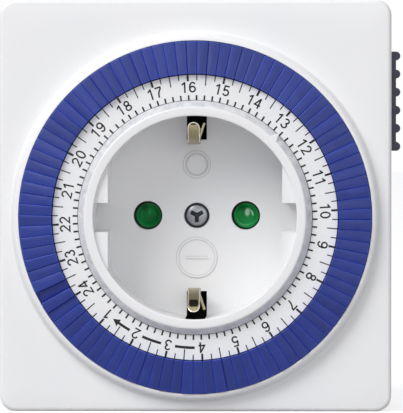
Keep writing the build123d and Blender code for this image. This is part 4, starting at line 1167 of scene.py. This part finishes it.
def joined(name: str, bodies: list[tuple[np.ndarray, list[list[int]]]]) -> bpy.types.Object:
    """Puts several closed bodies, given in millimetres, into one object."""
    points, faces, start = [], [], 0
    for places, rows in bodies:
        flat = places.reshape(-1, 3)
        points.append(flat)
        faces += shifted(rows, start)
        start += len(flat)
    return mesh_from(name, np.concatenate(points) * MM, faces)


# ---------------------------------------------------------------- the socket's small pieces


@dataclass
class SocketTrim:
    """What stands in the recess: collar rim and flank, screw, shutter eyes, clips, marks, and dark sheets of
    painted shadow in the earth slots.
    """

    finishes: Finishes
    well_radius: float = 19.5
    pin_x: float = 9.5
    collar_foot: float = 49.08
    pointer_angle: float = 45.0
    around: int = 192
    screw_radii: tuple[float, float] = (2.06, 2.38)
    wing: tuple[float, float] = (1.25, 0.27)
    screw_dome: float = 0.42
    drive_middle: float = 0.42
    drive_edge: float = 0.2
    drive_depth: float = 0.6
    ramp_fall: float = 1.1
    ramp_half: float = 2.8
    clip_bow: tuple[tuple[float, float], ...] = ((15.8, 32.9), (14.6, 41.0), (18.9, 46.4))
    clip_half: float = 0.3
    clip_x: float = -0.35
    clip_root: float = 14.4
    clip_turn: float = 17.1
    bead_reach: float = 1.08
    bead: float = 0.13
    eye_lift: float = 0.05
    eye_soil: float = 0.93
    liner: float = 0.06
    liner_step: float = 16.8
    clip_room: tuple[float, float] = (-1.6, 1.25)
    slot_half: float = 1.95
    slot_start: float = 14.72
    groove_back: float = 20.4
    foot_line: float = 0.14
    mark_rings: tuple[tuple[float, float], ...] = (
        (9.9, 2.67),
        (9.9, 2.18),
        (9.9, 1.97),
        (-8.2, 3.97),
        (-8.2, 3.48),
    )
    mark_bars: tuple[float, ...] = (-7.96, -8.44)

    def __post_init__(self) -> None:
        """Reads the levels of the rim, the floor and the shutter from their nodes."""
        self.rim = -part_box("socket_well")[0].y / MM
        self.floor = -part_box("centre_screw")[0].y / MM
        self.shutter_top = -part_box("shutter")[0].y / MM

    def place(self, piece: bpy.types.Object, finish: object, body: str, slot: str) -> bpy.types.Object:
        """Dresses a piece and lets it ride on its body."""
        piece.data.materials.append(self.finishes.of(finish))
        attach(piece, body)
        return piece

    def collar(self) -> bpy.types.Object:
        """The collar's rim: a wide round over a straight flank outside, a flat top and a tight round inside.

        Its section is a closed loop of arcs and straight runs, turned about the dial's axis. The pointer is a
        wedge on it that narrows outwards.
        """
        inner, top, foot = self.well_radius - 0.02, self.rim, self.collar_foot
        section = [(inner + 2.9, foot), (inner + 2.92, foot + 0.08)]
        section += arc_points((inner + 1.48, top - 0.42), 0.42, 42, 90, 7)
        section += arc_points((inner + 0.25, top - 0.25), 0.25, 90, 180, 6)
        section += [(inner, top - 1.1), (inner + 0.3, top - 1.1)]
        section += [(inner + 0.9, top - 0.8), (inner + 2.6, foot + 0.02)]
        points = turned(section, self.around)
        bodies = [(points, outward(loop_faces(len(section), self.around), points))]
        wedge = [inner + 1.0, inner + 3.05, 1.05, 0.28, 0.16, 5]
        full, small = rounded_wedge(*wedge), rounded_wedge(*wedge, inset=0.12)
        stack = ((full, foot), (full, top - 0.2), (small, top - 0.06))
        rings = np.array([np.column_stack((edge, np.full(len(edge), level))) for edge, level in stack])
        pointer = spun(rings, self.pointer_angle)
        bodies.append((pointer, outward(ring_stack_faces(*rings.shape[:2]), pointer)))
        return self.place(joined("collar_rim", bodies), COLLAR_ABS, "case", "case_white")

    def flank(self) -> bpy.types.Object:
        """The collar's flank: a thin skin on the straight run from the rim down to the dial, painted grey in
        blotches as reflection and shade.

        Its section has four corners: the run's two ends, and the same ends lifted along the run's normal.
        """
        start = np.array((self.well_radius + 1.772, self.rim - 0.139))
        end = np.array((self.well_radius + 2.9, self.collar_foot + 0.08))
        normal = np.array((start[1] - end[1], end[0] - start[0])) / np.hypot(*(end - start)) * 0.03
        points = turned([tuple(start), tuple(end), tuple(end + normal), tuple(start + normal)], self.around)
        piece = joined("collar_flank", [(points, outward(loop_faces(4, self.around), points))])
        return self.place(piece, FLANK_ABS, "case", "case_white")

    def screw(self) -> bpy.types.Object:
        """The middle screw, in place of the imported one: a domed head, a flange, a winged drive and a shank.

        The head's level falls by the dome times the square of its share of the radius. The drive sinks it
        where a point is nearer than half a wing's width to one of three rays, or within the drive's middle.
        """
        head, flange, top = self.screw_radii[0], self.screw_radii[1], self.floor
        angle = np.linspace(0, 2 * math.pi, 120, endpoint=False)[None, :]
        radius = np.linspace(head - 0.06, 0.04, 22)[:, None]
        x, z = radius * np.cos(angle), radius * np.sin(angle)
        reach = np.hypot(x, z) - self.drive_middle
        for turn in np.radians((30.0, 150.0, 270.0)):
            along, across = x * np.cos(turn) + z * np.sin(turn), z * np.cos(turn) - x * np.sin(turn)
            wing = np.maximum(np.abs(across) - self.wing[1], np.abs(along - 0.6) - self.wing[0] + 0.6)
            reach = np.minimum(reach, wing)
        sunk = np.clip(0.5 - reach / self.drive_edge, 0, 1)
        level = top - 0.02 - self.screw_dome * (radius / head) ** 2 - self.drive_depth * sunk
        crown = np.stack((x, -level, z), axis=-1)
        below = [(0.3, top - 12.0), (1.1, top - 11.2), (1.1, top - 1.3), (flange, top - 1.3)]
        below += [(flange, top - 0.85), (head + 0.02, top - 0.8), (head, top - 0.52)]
        points = np.concatenate((turned(below, 120), crown))
        # Painted shade: full round the head's flange, half on the head's side, and as deep as the drive
        # sinks.
        soil = np.concatenate((np.zeros((3, 120)), np.ones((3, 120)), np.full((1, 120), 0.5), sunk))
        piece = joined("screw_head", [(points, outward(ring_stack_faces(len(points), 120), points))])
        paint(piece, "soil", soil.ravel())
        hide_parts("centre_screw")
        return self.place(piece, DRIVE_ZINC, "case", "screw_steel")

    def shutter_eyes(self) -> bpy.types.Object:
        """The two dished eyes of the shutter, one under each pin hole, with a groove round each painted dark
        as shadow.

        Inside, an eye follows the lobe's ramp, whose level falls evenly across the eye; towards its edge it
        rises to the lobe's top with a smooth step, three times the square less twice the cube of the share.
        Its "thin" attribute is an even value plus bell curves about a painted highlight spot, a painted
        highlight bow, a faint painted glow low down and a painted patch of shade, and it drops to -1, painted
        shadow, in the groove.
        """
        rim = (3.05, 3.05, 2.95, 2.8, 2.65, 2.5, 2.38, 2.25, 2.1)
        rings = np.array(rim + (1.9, 1.7, 1.5, 1.3, 1.1, 0.85, 0.6, 0.35, 0.05))
        angle = np.linspace(0, 2 * math.pi, 72, endpoint=False)[None, :]
        radius = rings[:, None]
        across, up = radius * np.cos(angle), radius * np.sin(angle)
        bodies, tints_and_painted_light = [], []
        for side, body, highlight_strength in ((-1, 0.2, 0.4), (1, 0.36, 2.6)):
            ramp = self.shutter_top - self.ramp_fall * (0.5 + side * up / (2 * self.ramp_half)) + 0.06
            share = np.clip((radius - 1.5) / 0.7, 0, 1)
            rise = share**2 * (3 - 2 * share)
            level = ramp + (self.shutter_top + 0.08 - ramp) * rise
            level[0] = self.shutter_top - 1.3
            points = np.stack((side * self.pin_x + across, -level, up), axis=-1)
            # Painted light: the groove is shadow, spot and bow are highlights, low is a faint glow and shade
            # is a dark patch.
            groove = np.clip((radius - 2.36 + 0.14 * np.cos(angle - 2.36)) / 0.14, 0, 1)
            spot = highlight_strength * np.exp(-(((across - 0.25) / 0.32) ** 2) - ((up - 0.55) / 0.5) ** 2)
            bend = ((np.degrees(angle) - 12) / 40) ** 2
            bow = 0.5 * highlight_strength * np.exp(-(((radius - 1.35) / 0.12) ** 2) - bend)
            low = 0.3 * np.exp(-(((radius - 1.95) / 0.25) ** 2)) * np.clip(-np.sin(angle + 0.4), 0, 1)
            shade = -0.35 * np.exp(-(((across + 0.7) / 0.7) ** 2) - ((up - 1.5) / 0.7) ** 2)
            tints_and_painted_light.append((body + spot + bow + low + shade) * (1 - groove) - groove)
            bodies.append((points, outward(ring_stack_faces(len(rings), 72), points)))
        piece = joined("shutter_eyes", bodies)
        paint(piece, "thin", np.concatenate([thin.ravel() for thin in tints_and_painted_light]))
        return self.place(piece, SHUTTER_PC, "shutter", "shutter_green")

    def clip_face(
        self, x: np.ndarray, reach: np.ndarray, side: int, lift: float
    ) -> tuple[np.ndarray, np.ndarray]:
        """Places on the face of an earth clip that the front sees, and the directions that stand off it.

        The clip bows along the circle through its root, its peak and its tip; the face lies half the strip's
        thickness outside that circle. At a distance from the dial's axis its level is the circle's middle
        plus the root of the radius squared less the square of the distance to the middle.

        Args:
            x: places across the clip, in millimetres.
            reach: distances from the dial's axis.
            side: 1 for the upper clip and -1 for the lower one.
            lift: how far the places stand off the face.

        Returns:
            An n by 3 array of places and an n by 3 array of unit directions.
        """
        root, peak, tip = (np.array(place) for place in self.clip_bow)
        chords = np.array((peak - root, tip - root))
        middle = np.linalg.solve(chords * 2, (peak @ peak - root @ root, tip @ tip - root @ root))
        radius = float(np.hypot(*(peak - middle))) + self.clip_half
        out = np.clip((reach - middle[0]) / radius, -0.999, 0.0)
        rise = np.sqrt(1 - out**2)
        off = np.stack((np.zeros_like(out), -rise, side * out), axis=-1)
        base = np.stack((x, np.full_like(out, -middle[1]), np.full_like(out, side * middle[0])), axis=-1)
        return base + (radius + lift) * off, off

    def clip_rims(self) -> bpy.types.Object:
        """The rolled edge of each earth clip, coloured bright as a painted highlight: a round bead up one
        side, round the tip and down the other.
        """
        bodies = []
        for side in (-1, 1):
            sweep = np.radians(np.linspace(0, 180, 25))
            run = np.linspace(self.clip_root, self.clip_turn, 14)
            ways = np.concatenate((np.full(14, 1.0), np.cos(sweep)[1:-1], np.full(14, -1.0)))
            x = ways * self.bead_reach + self.clip_x
            reach = np.concatenate((run, self.clip_turn + self.bead_reach * np.sin(sweep)[1:-1], run[::-1]))
            path, off = self.clip_face(x, reach, side, 0.0)
            ahead = np.gradient(path, axis=0)
            ahead /= np.linalg.norm(ahead, axis=1)[:, None]
            beside = np.cross(ahead, off)
            turn = np.linspace(0, 2 * math.pi, 10, endpoint=False)[None, :, None]
            rings = path[:, None] + self.bead * (np.cos(turn) * off[:, None] + np.sin(turn) * beside[:, None])
            bodies.append((rings, outward(ring_stack_faces(len(rings), 10), rings)))
        return self.place(joined("clip_rims", bodies), STRIP_EDGE, "case", "earth_steel")

    def clip_eyes(self) -> bpy.types.Object:
        """The dark eye near each clip's tip: a thin pad that follows the clip's bow, painted near black as
        shade.
        """
        bodies = []
        for side, first, last, half in ((-1, 15.95, 17.2, 0.9), (1, 17.75, 18.02, 0.62)):
            reach = np.linspace(first, last, 9)
            round_off = half * (0.72 + 0.28 * np.sin(np.linspace(0.15, math.pi - 0.15, 9)))
            corners = ((-1, -self.eye_lift), (1, -self.eye_lift), (1, self.eye_lift), (-1, self.eye_lift))
            places = [(self.clip_x + way * round_off, lift) for way, lift in corners]
            runs = [self.clip_face(x, reach, side, lift)[0] for x, lift in places]
            points = np.stack(runs, axis=1)
            bodies.append((points, outward(strip_faces(len(points), False), points)))
        piece = joined("clip_eyes", bodies)
        # Painted shade: the pads take most of the shade colour.
        paint(piece, "soil", np.full(len(piece.data.vertices), self.eye_soil))
        return self.place(piece, EARTH_STRIP, "case", "earth_steel")

    def slot_liners(self) -> bpy.types.Object:
        """Dark sheets of painted shadow in each earth slot: thin walls beside the clip, one behind it, and a
        bottom round it.

        Each wall is a box between two places across the slot, two distances from the axis and two levels.
        """
        thin, start, step = self.liner, self.slot_start, self.liner_step
        room_left, room_right = self.clip_room
        half, back = self.slot_half - 0.01, self.groove_back - 0.01
        low, high, groove = self.floor - 2.9, self.rim - 2.0, self.well_radius + 0.02
        walls = [(way * (half - thin), way * half, groove, back, low, high) for way in (-1, 1)]
        walls += [(way * (half - thin), way * half, start, groove, low, self.floor - 0.03) for way in (-1, 1)]
        walls += [(-half, half, back - thin, back, low, high), (-half, half, step, back, low, low + thin)]
        walls.append((room_right, half, start, step, low, low + thin))
        walls.append((-half, room_left, start, step, low, low + thin))
        bodies = []
        for side in (-1, 1):
            for left, right, near, far, bottom, top in walls:
                flat = np.array(((left, near), (right, near), (right, far), (left, far))) * (1, side)
                ends = [np.column_stack((flat, np.full(4, -level))) for level in (bottom, top)]
                points = np.array(ends)[:, :, [0, 2, 1]]
                bodies.append((points, outward([list(row) for row in BOX_FACES], points)))
        return self.place(joined("earth_slot_shadow_sheets", bodies), SLOT_SHADOW, "case", "case_white")

    def floor_marks(self) -> bpy.types.Object:
        """The foot of the floor's raised rings and bar, painted grey as shade where the mould's corner is
        sharp.
        """
        bodies = []
        half, low, high = self.foot_line / 2, self.floor - 0.05, self.floor + 0.03
        for height, radius in self.mark_rings:
            near, far = radius - half, radius + half
            section = [(near, low), (far, low), (far, high), (near, high)]
            ring = turned(section, 96, (0.0, height))
            bodies.append((ring, outward(loop_faces(4, 96), ring)))
        for height in self.mark_bars:
            across = np.linspace(-1, 1, 12) * 2.15
            corners = ((-half, low), (half, low), (half, high), (-half, high))
            points = np.array([[(x, -level, height + up) for up, level in corners] for x in across])
            bodies.append((points, outward(strip_faces(12, False), points)))
        return self.place(joined("floor_marks", bodies), FOOT_ABS, "case", "case_white")

    def build(self) -> list[bpy.types.Object]:
        """Builds the pieces in the recess."""
        near = [self.collar(), self.flank(), self.screw(), self.shutter_eyes(), self.floor_marks()]
        return near + [self.clip_rims(), self.clip_eyes(), self.slot_liners()]


# ---------------------------------------------------------------- the dial's print


@dataclass
class DialPrint:
    """The print on the dial plate: ticks, hour numbers, a thin circle and an arrow that shows its turn.

    Each mark is a film of ink that stands a few hundredths of a millimetre on the plate. Sizes are in
    millimetres.
    """

    finishes: Finishes
    film: float = 0.03
    inner_tick: tuple[float, float, float] = (22.45, 23.45, 0.32)
    hour_tick: tuple[float, float] = (1.15, 0.4)
    half_tick: tuple[float, float] = (1.95, 0.2)
    quarter_tick: tuple[float, float] = (1.0, 0.2)
    tick_edge: float = 27.27
    circle: tuple[float, float] = (22.38, 22.52)
    number_radius: float = 24.95
    number_height: float = 2.07
    arrow_length: float = 3.8
    arrow_width: float = 0.5
    arrow_head: tuple[float, float] = (1.3, 1.5)

    def __post_init__(self) -> None:
        """Reads the plate's face from its node."""
        self.face = -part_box("dial_plate")[0].y / MM
        self.levels = np.array((self.face, self.face + self.film))

    def finish_piece(self, piece: bpy.types.Object) -> bpy.types.Object:
        """Inks a printed piece and lets it ride on the dial."""
        piece.data.materials.clear()
        piece.data.materials.append(self.finishes.of(DIAL_INK))
        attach(piece, "dial")
        return piece

    def bars(
        self, name: str, middles: np.ndarray, starts: np.ndarray, ends: np.ndarray, widths: np.ndarray
    ) -> bpy.types.Object:
        """Straight radial bars of ink.

        Each bar is a box: its corners lie at its start and end along the ray, half its width to each side, on
        the plate's face and on the film's top.

        Args:
            name: the piece's name.
            middles: each bar's angle in radians.
            starts: each bar's inner radius.
            ends: each bar's outer radius.
            widths: each bar's width.

        Returns:
            The piece.
        """
        along = np.stack((starts, ends, ends, starts), axis=1)
        across = np.stack((-widths, -widths, widths, widths), axis=1) / 2
        x = along * np.cos(middles)[:, None] - across * np.sin(middles)[:, None]
        z = along * np.sin(middles)[:, None] + across * np.cos(middles)[:, None]
        low = np.stack((x, np.full_like(x, -self.levels[0]), z), axis=-1)
        high = np.stack((x, np.full_like(x, -self.levels[1]), z), axis=-1)
        points = np.concatenate((low, high), axis=1) * MM
        faces = (np.arange(len(middles))[:, None, None] * 8 + np.array(BOX_FACES)[None]).reshape(-1, 4)
        return self.finish_piece(mesh_from(name, points, faces, smooth=False))

    def build_inner_ticks(self) -> bpy.types.Object:
        """The 96 bold quarter-hour ticks next to the collar, where one segment meets the next."""
        count = HOURS * QUARTERS
        angles = np.radians(ZERO_HOUR_ANGLE + np.arange(count) * SEGMENT_PITCH)
        start, end, width = self.inner_tick
        ones = np.ones(count)
        return self.bars("inner_ticks", angles, ones * start, ones * end, ones * width)

    def build_outer_ticks(self) -> bpy.types.Object:
        """The ticks inside the segments: bold at the hour, long and thin at the half, short at a quarter."""
        quarter = np.arange(HOURS * QUARTERS)
        angles = np.radians(ZERO_HOUR_ANGLE + quarter * SEGMENT_PITCH)
        kinds = np.array((self.hour_tick, self.quarter_tick, self.half_tick, self.quarter_tick))
        kinds = kinds[quarter % QUARTERS]
        ends = np.full(len(quarter), self.tick_edge)
        return self.bars("outer_ticks", angles, ends - kinds[:, 0], ends, kinds[:, 1])

    def build_circle(self) -> bpy.types.Object:
        """The thin circle that the inner ticks stand on: a flat section carried round the axis."""
        around = 192
        angle = np.linspace(0, 2 * math.pi, around, endpoint=False)[:, None]
        radius = np.array((self.circle[0], self.circle[1], self.circle[1], self.circle[0]))[None, :]
        points = front_points(radius, angle, self.levels[[0, 0, 1, 1]][None, :])
        return self.finish_piece(mesh_from("dial_circle", points, strip_faces(around, True), smooth=False))

    def build_number(self, hour: int) -> bpy.types.Object:
        """One hour's number: its digits side by side on a straight line, top outwards on the hour's ray.

        Args:
            hour: the number to print, from 1 to 24.

        Returns:
            The piece.
        """
        digits = [DIGIT_STROKES[digit] for digit in str(hour)]
        angle = math.radians(ZERO_HOUR_ANGLE + hour * HOUR_PITCH)
        points, faces, start = [], [], 0
        for place, strokes in enumerate(digits):
            shift = (place - (len(digits) - 1) / 2) * DIGIT_ADVANCE - DIGIT_MIDDLE
            for stroke in strokes:
                ribbon, closed = stroke.ribbon(DIGIT_STROKE / 2)
                across = (ribbon[..., 0] + shift) * self.number_height
                along = self.number_radius + (ribbon[..., 1] - 0.5) * self.number_height
                x = along * math.cos(angle) + across * math.sin(angle)
                z = along * math.sin(angle) - across * math.cos(angle)
                sides = np.stack((x, z), axis=-1)
                corners = sides[:, [0, 1, 1, 0]]
                level = np.broadcast_to(self.levels[[0, 0, 1, 1]], corners.shape[:2])
                placed = np.stack((corners[..., 0], -level, corners[..., 1]), axis=-1) * MM
                points.append(placed.reshape(-1, 3))
                faces += shifted(strip_faces(len(corners), closed), start)
                start += len(corners) * 4
        name = f"dial_number_{hour:02d}"
        return self.finish_piece(mesh_from(name, np.concatenate(points), faces, smooth=False))

    def build_arrow(self) -> bpy.types.Object:
        """The broken arrow that bends with the dial: two dashes and a headed one, pointing clockwise.

        Each stroke is a flat bar bent along its arc; the head narrows almost to a point.
        """
        points, faces, start = [], [], 0
        spots = [(ZERO_HOUR_ANGLE + hour * HOUR_PITCH, False) for hour in (3.5, 2.5)]
        spots.append((ZERO_HOUR_ANGLE + 1.5 * HOUR_PITCH, True))
        for middle, headed in spots:
            reach = math.degrees(self.arrow_length / 2 / self.number_radius)
            head_reach = math.degrees(self.arrow_head[0] / self.number_radius)
            tail, tip = middle + reach, middle - reach
            stem_end = tip + head_reach if headed else tip
            angles = np.linspace(tail, stem_end, 7)
            halves = np.full(7, self.arrow_width / 2)
            if headed:
                angles = np.append(angles, np.linspace(stem_end, tip, 4))
                halves = np.append(halves, np.linspace(self.arrow_head[1] / 2, 0.02, 4))
            rows = len(angles)
            radius = self.number_radius + np.stack((-halves, halves, halves, -halves), axis=1)
            level = self.levels[[0, 0, 1, 1]][None, :]
            points.append(front_points(radius, np.radians(angles)[:, None], level).reshape(-1, 3))
            faces += shifted([row[::-1] for row in strip_faces(rows, False)], start)
            start += rows * 4
        return self.finish_piece(mesh_from("turning_arrow", np.concatenate(points), faces, smooth=False))

    def build(self) -> list[bpy.types.Object]:
        """Builds every printed mark."""
        marks = [self.build_inner_ticks(), self.build_outer_ticks(), self.build_circle(), self.build_arrow()]
        return marks + [self.build_number(hour) for hour in range(1, HOURS + 1)]


# ---------------------------------------------------------------- studio


@dataclass(frozen=True)
class SoftLamp:
    """A square soft lamp, placed by its azimuth on the front, anticlockwise from +X, and its lift."""

    name: str
    azimuth: float
    lift: float
    distance: float
    size: float
    strength: float

    def build(self, aim: Vector) -> bpy.types.Object:
        """Builds the lamp.

        The lamp stands off along a ray that leaves the front by the lift angle in the azimuth's direction,
        and its power is set so that a square-on surface at the aim gets the same light whatever its distance.

        Args:
            aim: the point it faces.

        Returns:
            The lamp's object.
        """
        azimuth, lift = math.radians(self.azimuth), math.radians(self.lift)
        flat = math.cos(lift)
        ray = Vector((math.cos(azimuth) * flat, -math.sin(lift), math.sin(azimuth) * flat))
        light = bpy.data.lights.new(self.name, "AREA")
        light.shape = "SQUARE"
        light.size = self.size
        light.energy = self.strength * math.pi**2 * self.distance**2
        lamp = bpy.data.objects.new(self.name, light)
        lamp.location = aim + ray * self.distance
        lamp.rotation_euler = (-ray).to_track_quat("-Z", "Y").to_euler()
        bpy.context.scene.collection.objects.link(lamp)
        return lamp


@dataclass
class Studio:
    """A pale flat floor, soft lamps and the camera."""

    key: SoftLamp = SoftLamp("key_lamp", 127.0, 36.0, 2.2, 1.3, 0.73)
    fill: SoftLamp = SoftLamp("fill_lamp", 20.0, 70.0, 1.3, 0.9, 0.19)
    ambient: float = 0.39
    camera_place: tuple[float, float, float] = (0.0237, -1.1095, 0.0278)
    camera_aim: tuple[float, float, float] = (0.00128, -0.0504, 0.00215)
    focal_px: float = 5544.0
    frame_px: tuple[int, int] = (403, 413)
    floor_radius: float = 2.5
    floor_lift: float = 0.7
    fibre_mm: float = 40.0

    def seen_directly(self, tree: bpy.types.NodeTree) -> bpy.types.NodeSocket:
        """One where the camera, a reflection or a clear thing sees a surface, and nought for its light."""
        paths = add_node(tree, "LightPath").outputs
        bent = {0: paths["Is Glossy Ray"], 1: paths["Is Transmission Ray"]}
        mirrored = add_node(tree, "Math", bent, operation="MAXIMUM")
        either = {0: paths["Is Camera Ray"], 1: mirrored.outputs["Value"]}
        return add_node(tree, "Math", either, operation="MAXIMUM").outputs["Value"]

    def build_floor(self) -> bpy.types.Object:
        """The floor: a disc under the part, whose rings grow with the square of their number."""
        rings, around = 24, 96
        radius = self.floor_radius / MM * (np.arange(1, rings + 1) / rings) ** 2
        angle = np.linspace(0, 2 * math.pi, around, endpoint=False)
        x = radius[:, None] * np.cos(angle)[None, :] * MM
        y = radius[:, None] * np.sin(angle)[None, :] * MM
        z = np.full_like(x, CAD_BOX[0].z)
        points = np.stack((x, y, z), axis=-1).reshape(-1, 3)
        ring, step = np.meshgrid(np.arange(rings - 1), np.arange(around), indexing="ij")
        after = (step + 1) % around
        low, high = ring * around, (ring + 1) * around
        faces = np.stack((low + step, high + step, high + after, low + after), axis=-1).reshape(-1, 4)
        floor = mesh_from("studio_floor", points, faces.tolist() + [list(range(around))])
        material, tree, output = new_material("pale_studio_paper")
        place = add_node(tree, "TexCoord").outputs["Object"]
        noise = {"Vector": place, "Scale": per_metre(self.fibre_mm), "Detail": 3.0}
        fibre = add_node(tree, "TexNoise", noise)
        stops = {0.3: "#a6a6a8", 0.7: "#a2a2a5"}
        colour = add_node(tree, "ValToRGB", {"Fac": fibre.outputs["Fac"]}, stops).outputs["Color"]
        seen = self.seen_directly(tree)
        lift = add_node(tree, "Math", {0: seen, 1: self.floor_lift}, operation="MULTIPLY").outputs["Value"]
        glow = {"Emission Color": (1.0, 1.0, 1.0, 1.0), "Emission Strength": lift}
        paper = add_node(tree, "BsdfPrincipled", {"Base Color": colour, "Roughness": 0.9, **glow})
        tree.links.new(paper.outputs["BSDF"], output.inputs["Surface"])
        floor.data.materials.append(material)
        return floor

    def build_world(self) -> None:
        """The surroundings: an even light, shown white to the camera, reflections and clear things."""
        world = bpy.data.worlds.new("studio_air")
        bpy.context.scene.world = world
        world.use_nodes = True
        tree = world.node_tree
        tree.nodes.clear()
        output = add_node(tree, "OutputWorld")
        seen = self.seen_directly(tree)
        light = add_node(tree, "Background", {"Color": (1.0, 1.0, 1.0, 1.0), "Strength": self.ambient})
        white = add_node(tree, "Background", {"Color": (1.0, 1.0, 1.0, 1.0), "Strength": 1.0})
        both = {"Fac": seen, 1: light.outputs["Background"], 2: white.outputs["Background"]}
        mix = add_node(tree, "MixShader", both)
        tree.links.new(mix.outputs["Shader"], output.inputs["Surface"])

    def build_camera(self) -> bpy.types.Object:
        """The camera: a long lens a metre from the front. Its focal length is given in pixels."""
        data = bpy.data.cameras.new("front_camera")
        data.sensor_fit = "VERTICAL"
        data.sensor_height = 24.0
        data.lens = self.focal_px * data.sensor_height / self.frame_px[1]
        data.clip_start = 0.01
        data.clip_end = 20.0
        camera = bpy.data.objects.new("front_camera", data)
        camera.location = Vector(self.camera_place)
        aim = Vector(self.camera_aim) - camera.location
        camera.rotation_euler = aim.to_track_quat("-Z", "Y").to_euler()
        bpy.context.scene.collection.objects.link(camera)
        bpy.context.scene.camera = camera
        return camera

    def build(self) -> None:
        """Builds the floor, the lights and the camera, and sets a plain view."""
        aim = (CAD_BOX[0] + CAD_BOX[1]) / 2
        self.build_floor()
        self.build_world()
        for lamp in (self.key, self.fill):
            lamp.build(aim)
        self.build_camera()
        bpy.context.scene.view_settings.view_transform = "Standard"


def main() -> None:
    """Builds the pieces in order and reports each one."""
    logging.basicConfig(level=logging.INFO, format="%(name)s: %(message)s")
    finishes = Finishes()
    log.info("%d packed nodes dressed", finishes.dress_nodes())
    for assembly in (FrontShell(finishes), SocketTrim(finishes), SegmentRing(finishes), DialPrint(finishes)):
        for piece in assembly.build():
            log.info("%s: %d faces", piece.name, len(piece.data.polygons))
    Studio().build()


if __name__ == "__main__":
    main()
